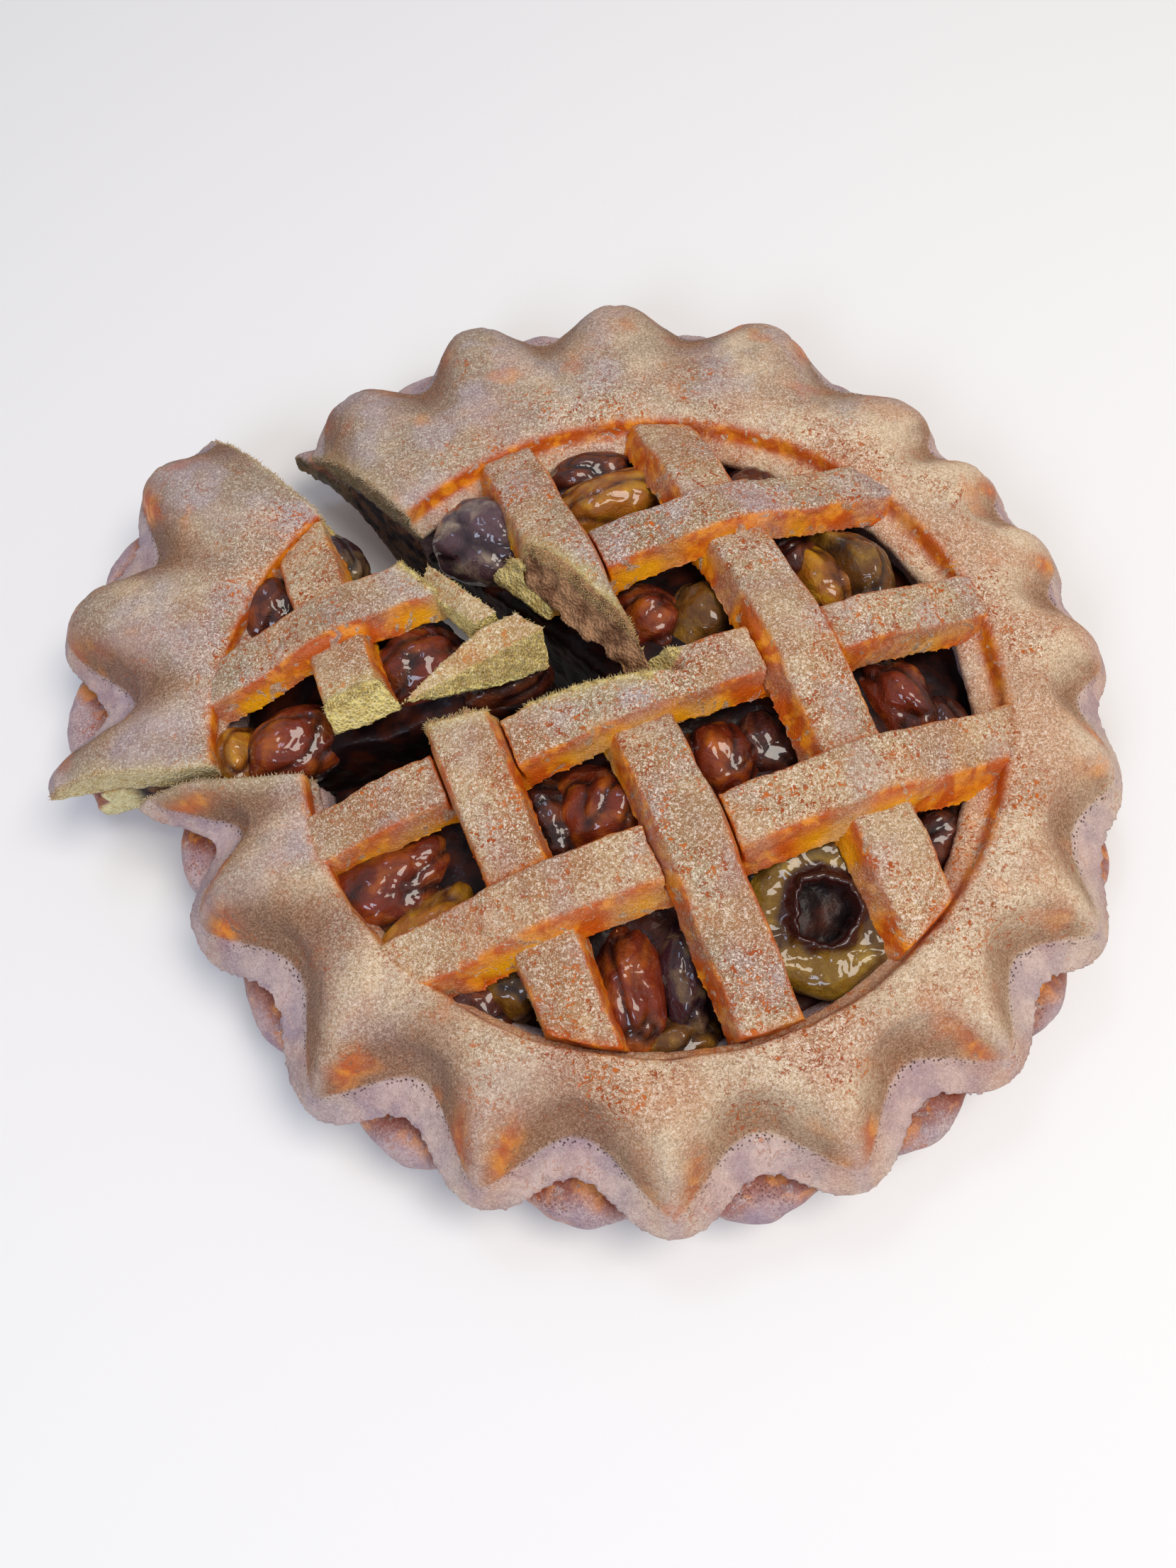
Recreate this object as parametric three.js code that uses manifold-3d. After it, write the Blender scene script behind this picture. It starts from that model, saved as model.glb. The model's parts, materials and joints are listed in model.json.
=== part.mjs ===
// Display copy of a lattice apple pie in painted foam: a crimped two-layer crust, a woven
// lattice of six strips over glossy fruit, and one slice eased out of its place.
// Millimetres, +Z up. The pie is drawn round its own axis, then moved so that the origin
// lies under the middle of its bounding box, at the level it stands on.
import * as THREE from 'three';
import { mergeVertices } from 'three/addons/utils/BufferGeometryUtils.js';
import { ConvexGeometry } from 'three/addons/geometries/ConvexGeometry.js';
import Module from 'manifold-3d';

const wasm = await Module();
wasm.setup();

// ---- whole pie ----
const GAP = 0.35; // air between pieces that touch
const CRUST = 9.5; // thickness of the foam sheet that both crust layers are cut from
const HOLE_RADIUS = 89; // opening of the upper crust, at its top edge
const HOLE_CENTRE = new THREE.Vector2(7, -10); // the opening sits off the pie's axis
const CROWN_HEIGHT = 45; // highest line of the crust ring
const EDGE_RADIUS = 128; // mean reach of the rim
const EDGE_HEIGHT = 36; // top of the rim's cut edge, in a hollow
const BEVEL_RUN = 5; // how far the cut edge slopes outwards
const BEVEL_DROP = 8; // how far it falls
const HOLLOW_SPREAD = 2; // in a hollow the cut edge slopes out this much further
const HOLLOW_LIFT = 1.5; // and falls this much less, because the sheet is pinched up
const TIP_DROOP = 6; // how far a tip hangs below a hollow
const BASE_RADIUS = 90; // flat foot that the pie stands on
const FLOOR_TOP = 10; // upper face of the bottom crust's floor
const FLANGE_RADIUS = 128.5; // mean reach of the bottom crust's lumpy lip
const FLANGE_LUMP = 3; // the lip swells out in each hollow, and draws in under each tip, by this much
const FLANGE_FOLLOW = 1.3; // how strongly the lip takes on the tips' unevenness
const LIP_DROOP = 0.7; // share of the tips' droop that the lip takes on

// ---- hand-crimped rim: [direction of a tip in degrees, its reach, reach of the hollow after it]
const CRIMPS = [
  [-177, 127, 108],
  [-158, 121, 110],
  [-133, 126, 113],
  [-113, 128, 116],
  [-93, 131, 119],
  [-74, 132, 120],
  [-55, 131, 121],
  [-38, 132, 121],
  [-19, 127, 118],
  [-4, 126, 116],
  [11, 124, 115],
  [24, 123, 113],
  [37, 124, 114],
  [60, 131, 117],
  [82, 133, 117],
  [102, 134, 114],
  [121, 129, 116],
  [139, 135, 119],
  [161, 132, 113],
];
const COLUMNS_PER_CRIMP = 6;
const COLUMNS = CRIMPS.length * COLUMNS_PER_CRIMP;
const TIP_SHARPNESS = 1.35; // above 1, tips are narrow and hollows round

// ---- lattice ----
const LATTICE_EDGE = 43.5; // height of the strips' tops at the opening's edge
const LATTICE_RISE = 19; // how much higher they are at the middle
const LATTICE_FULLNESS = 2.4; // above 2, the dome is flat-topped
const STRIP_THICKNESS = 9.5;
const STRIP_FLARE = 3.8; // how much wider each side is at the bottom
const STRIP_ROUND = 1.6; // softened upper edges
const WEAVE = 3; // rise over a crossing, and dip under one
const LONG_STRIPS = { angle: -76, width: 15.5, offsets: [-42.7, -2.1, 42.1] };
const CROSS_STRIPS = { angle: 13, width: 13.8, offsets: [28.1, -15.1, -52.6] };
const STRIP_REACH = 100; // half length before the ends are trimmed to the opening
const STRIP_STEPS = 20;

// ---- the slice ----
const APEX = new THREE.Vector2(5, -12); // where both cuts meet
const LOWER_CUT = 183; // directions of the cuts, degrees
const UPPER_CUT = 128.2;
const LEAN_HEIGHT = 50; // a leaning cut crosses the upright one at this height
const KNIFE_LEAN = 0.75; // sideways run of a leaning cut, per mm of height
const CUT_REACH = 260; // long enough to pass right through the crusts
const SLICE_SHIFT = new THREE.Vector3(-23, 5, 0);
// splinters of the two middle strips that stayed on the slice, by their corners
const LONG_SLIVER = [
  [-20.5, 27.5, 56.5],
  [-13, 16, 60.5],
  [-4, 6.6, 62],
  [-10, 4.6, 61],
  [-25, 24, 53],
  [-4, 6.4, 53],
  [-12, 5, 52],
];
const CROSS_SLIVER = [
  [-31, -11.6, 56],
  [-19, -4.4, 60],
  [-8.6, 3.2, 61.5],
  [0.5, 5.6, 62],
  [7, 0.6, 61.5],
  [-23.5, -9.8, 52],
  [-13, -8, 51],
  [-2.5, -8, 51],
  [7, -6, 52],
  [0, 4, 52],
];

// ---- fruit
const BED_BELOW = 4; // the syrupy bed lies this far under the lowest strips
const BED_TOP = 46; // and no higher than this
const BED_RELIEF = 1.5;
// pieces of fruit: x, y of the middle, height of the top, half length, width and height, turn in degrees
const CHUNKS = [
  [7, 58, 48, 19, 10, 9, 20],
  [20, 13, 53, 12, 10, 9, 60],
  [15, 22, 51, 9, 8, 8, 0],
  [27, -27, 53, 13, 11, 10, 100],
  [64, 24, 46, 14, 11, 9, 60],
  [72, -12, 45, 15, 10, 9, 80],
  [-14, -34, 54, 14, 13, 12, 40],
  [-60, -52, 42, 16, 13, 11, -20],
  [-74, -34, 38, 12, 10, 9, 30],
  [-42, -76, 38, 13, 9, 8, 10],
  [-6, -78, 41, 13, 10, 9, 100],
  [8, -84, 37, 9, 9, 8, 0],
  [71, -55, 37, 11, 9, 8, 40],
  [-30, 47, 50, 13, 11, 10, 150],
  [44, 52, 43, 10, 9, 8, 30],
  [-67, 33, 44, 10, 9, 8, 70],
  [-27, 6, 52, 12, 10, 9, 20],
  [-6, -3, 52.5, 13, 8, 9, 15],
  [-66, -3, 45, 12, 9, 9, 20],
  [-50, 45, 44, 12, 10, 9, 130],
  [-84, 2, 38, 9, 7, 7, 90],
];
const APPLE_RING = { x: 40, y: -70, z: 36, radius: 13.5, tube: 5, flatten: 1.25, tilt: 12 };

const FOAM_CRUST = new THREE.MeshStandardMaterial({ color: 0xcdb79f, roughness: 0.85, metalness: 0 });
const FOAM_CRUST_LOWER = new THREE.MeshStandardMaterial({ color: 0xb9a8b0, roughness: 0.88, metalness: 0 });
const FOAM_STRIP = new THREE.MeshStandardMaterial({ color: 0xcfb28c, roughness: 0.8, metalness: 0 });
const GLAZED_FRUIT = new THREE.MeshStandardMaterial({ color: 0x4a1e12, roughness: 0.2, metalness: 0 });

// ---------------------------------------------------------------- helpers

function unit(degrees) {
  const angle = THREE.MathUtils.degToRad(degrees);
  return new THREE.Vector2(Math.cos(angle), Math.sin(angle));
}

// A closed solid from a geometry: welded, without collapsed triangles, faces outwards.
function toSolid(geometry) {
  const bare = geometry.clone();
  bare.deleteAttribute('normal');
  bare.deleteAttribute('uv');
  const welded = mergeVertices(bare, 1e-3);
  const points = welded.attributes.position.array;
  const index = welded.index.array;
  const triangles = [];
  for (let i = 0; i < index.length; i += 3) {
    const [a, b, c] = [index[i], index[i + 1], index[i + 2]];
    if (a !== b && b !== c && c !== a) {
      triangles.push(a, b, c);
    }
  }
  if (signedVolume(points, triangles) < 0) {
    triangles.reverse();
  }
  const mesh = new wasm.Mesh({
    numProp: 3,
    vertProperties: new Float32Array(points),
    triVerts: new Uint32Array(triangles),
  });
  return new wasm.Manifold(mesh);
}

function signedVolume(points, triangles) {
  const corner = (i) => new THREE.Vector3().fromArray(points, 3 * triangles[i]);
  let volume = 0;
  for (let i = 0; i < triangles.length; i += 3) {
    volume += corner(i).dot(corner(i + 1).cross(corner(i + 2)));
  }
  return volume;
}

function toMesh(name, solid, material, shift = new THREE.Vector3()) {
  const { vertProperties, triVerts } = solid.getMesh();
  const geometry = new THREE.BufferGeometry();
  geometry.setAttribute('position', new THREE.BufferAttribute(vertProperties, 3));
  geometry.setIndex(new THREE.BufferAttribute(triVerts, 1));
  geometry.computeVertexNormals();
  const mesh = new THREE.Mesh(geometry, material);
  mesh.name = name;
  mesh.position.copy(shift);
  return mesh;
}

// ---------------------------------------------------------------- crimped rings

// Distance from the pie's axis to the opening's edge, less the mean, in a direction.
function holeOffset(direction) {
  const along = HOLE_CENTRE.dot(direction);
  const across = HOLE_CENTRE.lengthSq() - along * along;
  return along + Math.sqrt(HOLE_RADIUS * HOLE_RADIUS - across) - HOLE_RADIUS;
}

// Around the rim: 1 on a tip, 0 in a hollow, with the reach there and the place in the crimp.
function crimpAt(column) {
  const i = Math.floor(column / COLUMNS_PER_CRIMP) % CRIMPS.length;
  const phase = (column % COLUMNS_PER_CRIMP) / COLUMNS_PER_CRIMP;
  const [tip, reach, hollow] = CRIMPS[i];
  const next = CRIMPS[(i + 1) % CRIMPS.length];
  const span = THREE.MathUtils.euclideanModulo(next[0] - tip, 360);
  const wave = Math.abs(Math.cos(Math.PI * phase)) ** TIP_SHARPNESS;
  const outer = THREE.MathUtils.lerp(reach, next[1], phase);
  return {
    direction: unit(tip + span * phase),
    wave,
    phase,
    outer,
    reach: THREE.MathUtils.lerp(hollow, outer, wave),
  };
}

// A ring or bowl from a profile of { r, z, hole, crimp, lip, spread }: hole and crimp say how far a
// point follows the opening and the crimped rim, lip points follow the bottom crust's lumps, and
// spread points slope outwards in the hollows.
function crimpedLathe(profile) {
  const outline = profile.map((point) => new THREE.Vector2(point.r, point.z));
  const geometry = new THREE.LatheGeometry(outline, COLUMNS);
  const position = geometry.attributes.position;
  for (let column = 0; column <= COLUMNS; column += 1) {
    const rim = crimpAt(column % COLUMNS);
    const uneven = FLANGE_FOLLOW * (rim.outer - EDGE_RADIUS);
    const lump = uneven - FLANGE_LUMP * Math.cos(2 * Math.PI * rim.phase);
    profile.forEach(({ r, z, hole = 0, crimp = 0, lip = 0, spread = 0 }, j) => {
      const pinch = spread * (1 - rim.wave);
      const rimOffset = crimp * (rim.reach - EDGE_RADIUS) + lip * lump + pinch * HOLLOW_SPREAD;
      const radius = r > 0 ? r + hole * holeOffset(rim.direction) + rimOffset : 0;
      const droop = (crimp + LIP_DROOP * lip) * TIP_DROOP * rim.wave;
      const height = z - droop + pinch * HOLLOW_LIFT;
      const { x, y } = rim.direction;
      position.setXYZ(column * profile.length + j, radius * x, radius * y, height);
    });
  }
  return geometry;
}

// Upper crust: a broad, gently crowned ring with a bevelled inner edge and a drooping rim.
function upperCrust() {
  return crimpedLathe([
    { r: HOLE_RADIUS - 3.5, z: CROWN_HEIGHT - CRUST - 1, hole: 1 },
    { r: HOLE_RADIUS, z: CROWN_HEIGHT - 2, hole: 1 },
    { r: HOLE_RADIUS + 3, z: CROWN_HEIGHT - 0.6, hole: 0.97 },
    { r: 100, z: CROWN_HEIGHT, hole: 0.8, crimp: 0.1 },
    { r: 109, z: CROWN_HEIGHT - 1, hole: 0.4, crimp: 0.4 },
    { r: 117, z: CROWN_HEIGHT - 3, hole: 0.1, crimp: 0.8 },
    { r: 123.5, z: CROWN_HEIGHT - 5.5, crimp: 1 },
    { r: EDGE_RADIUS, z: EDGE_HEIGHT, crimp: 1 },
    { r: EDGE_RADIUS + BEVEL_RUN, z: EDGE_HEIGHT - BEVEL_DROP, crimp: 1, spread: 1 },
    { r: EDGE_RADIUS + 2, z: EDGE_HEIGHT - BEVEL_DROP - 0.5, crimp: 1, spread: 0.8 },
    { r: 117, z: CROWN_HEIGHT - CRUST - 3, hole: 0.1, crimp: 0.8 },
    { r: 105, z: CROWN_HEIGHT - CRUST - 1, hole: 0.6, crimp: 0.25 },
    { r: HOLE_RADIUS - 3.5, z: CROWN_HEIGHT - CRUST - 1, hole: 1 },
  ]);
}

// Bottom crust: a flat-footed bowl whose flange lies under the upper crust and ends in a lumpy lip.
function bottomCrust() {
  const top = CROWN_HEIGHT - CRUST - 1 - GAP;
  return crimpedLathe([
    { r: 0, z: 0 },
    { r: BASE_RADIUS, z: 0, hole: 0.3 },
    { r: BASE_RADIUS + 3, z: 2.5, hole: 0.3 },
    { r: 104, z: 19, hole: 0.3 },
    { r: 111, z: 20, hole: 0.15, lip: 0.3 },
    { r: FLANGE_RADIUS - 8, z: 14.5, lip: 0.8 },
    { r: FLANGE_RADIUS - 1.5, z: 13.5, lip: 1 },
    { r: FLANGE_RADIUS, z: 18, lip: 1 },
    { r: FLANGE_RADIUS - 3.5, z: 23, lip: 1 },
    { r: 123, z: top - 5.2, crimp: 1 },
    { r: 117, z: top - 2.7, hole: 0.1, crimp: 0.8 },
    { r: 105, z: top - 0.3, hole: 0.6, crimp: 0.25 },
    { r: HOLE_RADIUS - 4, z: top, hole: 1 },
    { r: 80, z: FLOOR_TOP, hole: 0.5 },
    { r: 0, z: FLOOR_TOP },
  ]);
}

// The room inside the crusts and, above, inside the opening: fruit and strips are trimmed to it.
function innerRoom() {
  return crimpedLathe([
    { r: 0, z: FLOOR_TOP + GAP },
    { r: 80 - GAP, z: FLOOR_TOP + GAP, hole: 0.5 },
    { r: HOLE_RADIUS - 4 - GAP, z: CROWN_HEIGHT - CRUST - 1, hole: 1 },
    { r: HOLE_RADIUS - GAP, z: CROWN_HEIGHT - 2, hole: 1 },
    { r: HOLE_RADIUS + 6, z: 80, hole: 1 },
    { r: 0, z: 80 },
  ]);
}

// ---------------------------------------------------------------- lattice strips

function latticeHeight(x, y) {
  const radius = Math.hypot(x - HOLE_CENTRE.x, y - HOLE_CENTRE.y) / HOLE_RADIUS;
  return LATTICE_EDGE + LATTICE_RISE * (1 - Math.min(radius, 1.2) ** LATTICE_FULLNESS);
}

// +1 where a long strip passes over a cross strip, -1 where it dips under it.
function longIsOver(long, cross) {
  return (long + cross) % 2 === 1 ? 1 : -1;
}

// A strip's rise or dip at a distance along it, from the crossings it makes.
function weaveHeight(strips, number, along) {
  const isLong = strips === LONG_STRIPS;
  const others = isLong ? CROSS_STRIPS : LONG_STRIPS;
  const direction = unit(strips.angle);
  const side = unit(strips.angle + 90);
  const otherSide = unit(others.angle + 90);
  const pitch = Math.abs(others.offsets[0] - others.offsets[2]) / 2;
  let rise = 0;
  others.offsets.forEach((offset, i) => {
    const crossing = (offset - strips.offsets[number] * side.dot(otherSide)) / direction.dot(otherSide);
    const near = Math.abs(along - crossing) / (pitch / 2);
    const over = isLong ? longIsOver(number, i) : -longIsOver(i, number);
    if (near < 1) {
      rise += over * WEAVE * Math.cos((Math.PI / 2) * near) ** 2;
    }
  });
  return rise;
}

// One strip, flared towards its bottom, bent over the dome and woven. grow swells it on all sides.
function stripSolid(strips, number, grow = 0) {
  const direction = unit(strips.angle);
  const side = unit(strips.angle + 90);
  const half = strips.width / 2 + grow;
  const geometry = new THREE.BoxGeometry(2, 2 * STRIP_REACH, 2, 3, STRIP_STEPS, 1);
  const position = geometry.attributes.position;
  for (let i = 0; i < position.count; i += 1) {
    const isTop = position.getZ(i) > 0;
    const isEdge = Math.abs(position.getX(i)) > 0.9;
    const hand = Math.sign(position.getX(i));
    const along = position.getY(i);
    const inset = isTop && !isEdge ? STRIP_ROUND : 0;
    const across = hand * (half - inset + (isTop ? 0 : STRIP_FLARE));
    const x = direction.x * along + side.x * (strips.offsets[number] + across);
    const y = direction.y * along + side.y * (strips.offsets[number] + across);
    const drop = isTop ? (isEdge ? STRIP_ROUND : 0) - grow : STRIP_THICKNESS + grow;
    position.setXYZ(i, x, y, latticeHeight(x, y) + weaveHeight(strips, number, along) - drop);
  }
  return toSolid(geometry);
}

// ---------------------------------------------------------------- fruit

// A lumpy rounded piece of fruit.
function chunkSolid([x, y, top, length, width, height, turn]) {
  const geometry = new THREE.SphereGeometry(1, 10, 6);
  const position = geometry.attributes.position;
  for (let i = 0; i < position.count; i += 1) {
    const [a, b, c] = [position.getX(i), position.getY(i), position.getZ(i)];
    const lump = 1 + 0.09 * Math.sin(3 * a + x) * Math.cos(3 * b + y) + 0.05 * Math.sin(5 * c + x);
    position.setXYZ(i, a * lump, b * lump, c * lump);
  }
  geometry.scale(length, width, height);
  geometry.rotateZ(THREE.MathUtils.degToRad(turn));
  geometry.translate(x, y, top - height);
  return toSolid(geometry);
}

function appleRing() {
  const { x, y, z, radius, tube, flatten, tilt } = APPLE_RING;
  const geometry = new THREE.TorusGeometry(radius, tube, 6, 16);
  geometry.scale(1, 1, flatten);
  geometry.rotateX(THREE.MathUtils.degToRad(tilt));
  geometry.translate(x, y, z);
  return toSolid(geometry);
}

// Syrupy bed that the fruit lies in, domed like the lattice and well below it.
function fruitBed() {
  const below = STRIP_THICKNESS + WEAVE + BED_BELOW;
  const rings = [0, 28, 52, 72, 88, 104];
  const outer = rings.at(-1);
  const outline = rings.map((radius) => new THREE.Vector2(radius, BED_TOP));
  outline.push(new THREE.Vector2(outer, 0), new THREE.Vector2(0, 0));
  const geometry = new THREE.LatheGeometry(outline, 28);
  geometry.rotateX(Math.PI / 2);
  const position = geometry.attributes.position;
  for (let i = 0; i < position.count; i += 1) {
    const [x, y] = [position.getX(i), position.getY(i)];
    const relief = BED_RELIEF * Math.sin(x / 6.5 + 1) * Math.cos(y / 7.5);
    const isTop = i % outline.length < rings.length;
    position.setZ(i, isTop ? Math.min(latticeHeight(x, y) - below + relief, BED_TOP) : 0);
  }
  return toSolid(geometry);
}

// ---------------------------------------------------------------- cutting

// The wedge between two cuts from the apex, in degrees. A leaning cut moves sideways as it
// rises, outwards if positive.
function wedge(lowerCut, upperCut, lowerLean = 0, upperLean = 0) {
  const lower = unit(lowerCut);
  const upper = unit(upperCut);
  const opening = Math.sin(THREE.MathUtils.degToRad(lowerCut - upperCut));
  const points = [];
  [-10, 100].forEach((height) => {
    const rise = height - LEAN_HEIGHT;
    const tip = APEX.clone()
      .addScaledVector(upper, (-lowerLean * rise) / opening)
      .addScaledVector(lower, (-upperLean * rise) / opening);
    const lowerEnd = tip.clone().addScaledVector(lower, CUT_REACH);
    const upperEnd = tip.clone().addScaledVector(upper, CUT_REACH);
    [tip, lowerEnd, upperEnd].forEach((point) => {
      points.push(new THREE.Vector3(point.x, point.y, height));
    });
  });
  return toSolid(new ConvexGeometry(points));
}

// A splinter of foam left by the knife, the hull of its corners. drop lowers it, for its bed.
function sliver(corners, drop = 0) {
  const points = corners.map(([x, y, z]) => new THREE.Vector3(x, y, z - drop));
  return toSolid(new ConvexGeometry(points));
}

// ---------------------------------------------------------------- assembly

// Both crust layers, cut through and shared between pie and slice.
function addCrusts(pie, cut) {
  const layers = [
    ['bottom_crust', toSolid(bottomCrust()), FOAM_CRUST_LOWER],
    ['upper_crust', toSolid(upperCrust()), FOAM_CRUST],
  ];
  layers.forEach(([name, layer, material]) => {
    pie.add(toMesh(name, layer.subtract(cut), material));
    pie.add(toMesh(`slice_${name}`, layer.intersect(cut), material, SLICE_SHIFT));
  });
}

// The strips of one family, trimmed to the opening and notched where they dip under the others.
// The first of each family has its far end on the slice.
function addStrips(pie, strips, others, cut, room) {
  const isLong = strips === LONG_STRIPS;
  const name = isLong ? 'long_strip' : 'cross_strip';
  const aroundSlice = cut.add(wedge(LOWER_CUT, UPPER_CUT, 0, KNIFE_LEAN));
  const insideSlice = cut.intersect(wedge(LOWER_CUT, UPPER_CUT, -KNIFE_LEAN, 0));
  const farSide = isLong ? wedge(LOWER_CUT, 90) : cut;
  strips.offsets.forEach((_, i) => {
    let strip = stripSolid(strips, i).intersect(room);
    others.forEach((other, j) => {
      const isOver = isLong ? longIsOver(i, j) > 0 : longIsOver(j, i) < 0;
      strip = isOver ? strip : strip.subtract(other);
    });
    if (i === 0) {
      pie.add(toMesh(`slice_${name}`, strip.intersect(insideSlice), FOAM_STRIP, SLICE_SHIFT));
      strip = strip.subtract(farSide);
    }
    pie.add(toMesh(`${name}_${i + 1}`, strip.subtract(aroundSlice), FOAM_STRIP));
  });
}

// What the knife left on the slice of the two middle strips.
function addSlivers(pie, firstCrossStrip) {
  const long = sliver(LONG_SLIVER).subtract(firstCrossStrip);
  pie.add(toMesh('slice_long_sliver', long, FOAM_STRIP, SLICE_SHIFT));
  pie.add(toMesh('slice_cross_sliver', sliver(CROSS_SLIVER), FOAM_STRIP, SLICE_SHIFT));
}

// The heap of fruit, pressed up against the strips and cut through with the crusts.
function addFruit(pie, cut, room, strips) {
  let heap = fruitBed().add(appleRing());
  CHUNKS.forEach((chunk) => {
    heap = heap.add(chunkSolid(chunk));
  });
  heap = heap.intersect(room);
  strips.forEach((strip) => {
    heap = heap.subtract(strip);
  });
  let sliceHeap = heap.intersect(cut);
  [LONG_SLIVER, CROSS_SLIVER].forEach((corners) => {
    sliceHeap = sliceHeap.subtract(sliver(corners)).subtract(sliver(corners, GAP));
  });
  pie.add(toMesh('fruit_filling', heap.subtract(cut), GLAZED_FRUIT));
  pie.add(toMesh('slice_fruit_filling', sliceHeap, GLAZED_FRUIT, SLICE_SHIFT));
}

function buildPie() {
  const pie = new THREE.Group();
  const cut = wedge(LOWER_CUT, UPPER_CUT);
  const room = toSolid(innerRoom());
  const long = LONG_STRIPS.offsets.map((_, i) => stripSolid(LONG_STRIPS, i, GAP));
  const cross = CROSS_STRIPS.offsets.map((_, i) => stripSolid(CROSS_STRIPS, i, GAP));
  addCrusts(pie, cut);
  addStrips(pie, LONG_STRIPS, cross, cut, room);
  addStrips(pie, CROSS_STRIPS, long, cut, room);
  addSlivers(pie, cross[0]);
  addFruit(pie, cut, room, [...long, ...cross]);
  return pie;
}

// Puts the origin under the middle of the bounding box, on the plane that the pie stands on.
function centred(group) {
  const box = new THREE.Box3().setFromObject(group, true);
  const middle = box.getCenter(new THREE.Vector3());
  group.position.set(-middle.x, -middle.y, -box.min.z);
  group.updateMatrixWorld(true);
  return group;
}

export default centred(buildPie());
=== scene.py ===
import json
import math
import random

import bmesh
import bpy
import numpy as np
from mathutils import Matrix, Vector, noise

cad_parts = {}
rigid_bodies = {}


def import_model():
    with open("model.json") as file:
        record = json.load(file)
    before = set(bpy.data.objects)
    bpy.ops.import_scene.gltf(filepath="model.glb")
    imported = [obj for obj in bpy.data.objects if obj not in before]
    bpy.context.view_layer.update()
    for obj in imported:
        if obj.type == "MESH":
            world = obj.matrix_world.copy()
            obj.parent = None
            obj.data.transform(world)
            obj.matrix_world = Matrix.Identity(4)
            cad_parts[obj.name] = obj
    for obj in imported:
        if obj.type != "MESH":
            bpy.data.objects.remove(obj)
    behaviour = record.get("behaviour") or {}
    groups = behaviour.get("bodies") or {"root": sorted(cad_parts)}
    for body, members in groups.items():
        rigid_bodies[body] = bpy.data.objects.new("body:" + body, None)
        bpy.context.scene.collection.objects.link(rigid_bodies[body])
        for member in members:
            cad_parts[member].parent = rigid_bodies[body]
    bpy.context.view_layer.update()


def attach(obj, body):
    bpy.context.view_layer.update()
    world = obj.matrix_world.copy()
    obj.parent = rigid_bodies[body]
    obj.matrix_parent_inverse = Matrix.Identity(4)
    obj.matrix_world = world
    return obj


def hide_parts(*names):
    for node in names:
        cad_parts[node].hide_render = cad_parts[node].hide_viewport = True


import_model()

# ---------------------------------------------------------------- table, light and camera
# None of this belongs to the pie: a pale matt table top, a wide overhead sheet of light, a cooler
# window in front and skylight behind, and a hand-held camera that looks steeply down from close by.

MM = 0.001
PIE_AXIS = Vector((0.012235, -0.001376, 0.0))  # the pie's own axis; sizes below are mm from it
LOOK_AT = Vector((-11.26, -25.97, 35.0))
CAMERA_DISTANCE = 303.85
CAMERA_ELEVATION = 66.7
CAMERA_ROLL = -8.62
LENS = 27.546


def linear(hex_colour):
    """A colour written as sRGB hex, as the linear values that a shader takes."""
    channels = [int(hex_colour[i:i + 2], 16) / 255 for i in (1, 3, 5)]
    return (*[c / 12.92 if c <= 0.04045 else ((c + 0.055) / 1.055) ** 2.4 for c in channels], 1.0)


def connect(tree, node, inputs):
    """Gives each input of a node a value, or a link from another node's output."""
    for name, value in inputs.items():
        if isinstance(value, bpy.types.NodeSocket):
            tree.links.new(value, node.inputs[name])
        else:
            node.inputs[name].default_value = value


def add(tree, kind, inputs=None, output=0, **settings):
    """Adds a node with its settings and inputs, and returns one of its outputs."""
    node = tree.nodes.new(kind)
    for name, value in settings.items():
        setattr(node, name, value)
    connect(tree, node, inputs or {})
    return node.outputs[output]


table = bmesh.new()
bmesh.ops.create_grid(table, x_segments=8, y_segments=8, size=3.0)
table_mesh = bpy.data.meshes.new("table_top")
table.to_mesh(table_mesh)
table_top = bpy.data.objects.new("table_top", table_mesh)
bpy.context.collection.objects.link(table_top)
laminate = bpy.data.materials.new("white_laminate")
laminate.use_nodes = True
tree = laminate.node_tree
connect(tree, tree.nodes["Principled BSDF"], {"Base Color": linear("#F4F3F1"), "Roughness": 0.75})
table_mesh.materials.append(laminate)

world = bpy.data.worlds.new("studio")
bpy.context.scene.world = world
world.use_nodes = True
tree = world.node_tree
connect(tree, tree.nodes["Background"], {"Color": linear("#F7F8FF"), "Strength": 0.38})

LIGHTS = [  # name, place in m, side in m, power in W, colour
    ("overhead", (0.50, -0.20, 1.20), 0.62, 10.4, "#FFF6EA"),
    ("window", (-0.45, -0.85, 0.85), 0.40, 4.4, "#D6E4FF"),
    ("skylight", (-0.18, 0.55, 1.20), 0.28, 1.4, "#C8DAFF"),
]
for name, place, side, power, colour in LIGHTS:
    light = bpy.data.lights.new(name, "AREA")
    light.size = side
    light.energy = power
    light.color = linear(colour)[:3]
    lamp = bpy.data.objects.new(name, light)
    lamp.location = place
    lamp.rotation_euler = (-Vector(place)).to_track_quat("-Z", "Y").to_euler()
    bpy.context.collection.objects.link(lamp)

elevation = math.radians(CAMERA_ELEVATION)
backwards = Vector((0, -math.cos(elevation), math.sin(elevation)))
sideways = Vector((1, 0, 0))
upwards = backwards.cross(sideways)
level = Matrix((sideways, upwards, backwards)).transposed().to_4x4()
eye = PIE_AXIS + (LOOK_AT + backwards * CAMERA_DISTANCE) * MM
camera = bpy.data.objects.new("camera", bpy.data.cameras.new("camera"))
camera.matrix_world = Matrix.Translation(eye) @ level @ Matrix.Rotation(math.radians(CAMERA_ROLL), 4, "Z")
camera.data.sensor_width = 36.0
camera.data.lens = LENS
camera.data.clip_start = 0.01
bpy.context.collection.objects.link(camera)
bpy.context.scene.camera = camera
bpy.context.scene.view_settings.view_transform = "Standard"

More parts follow.
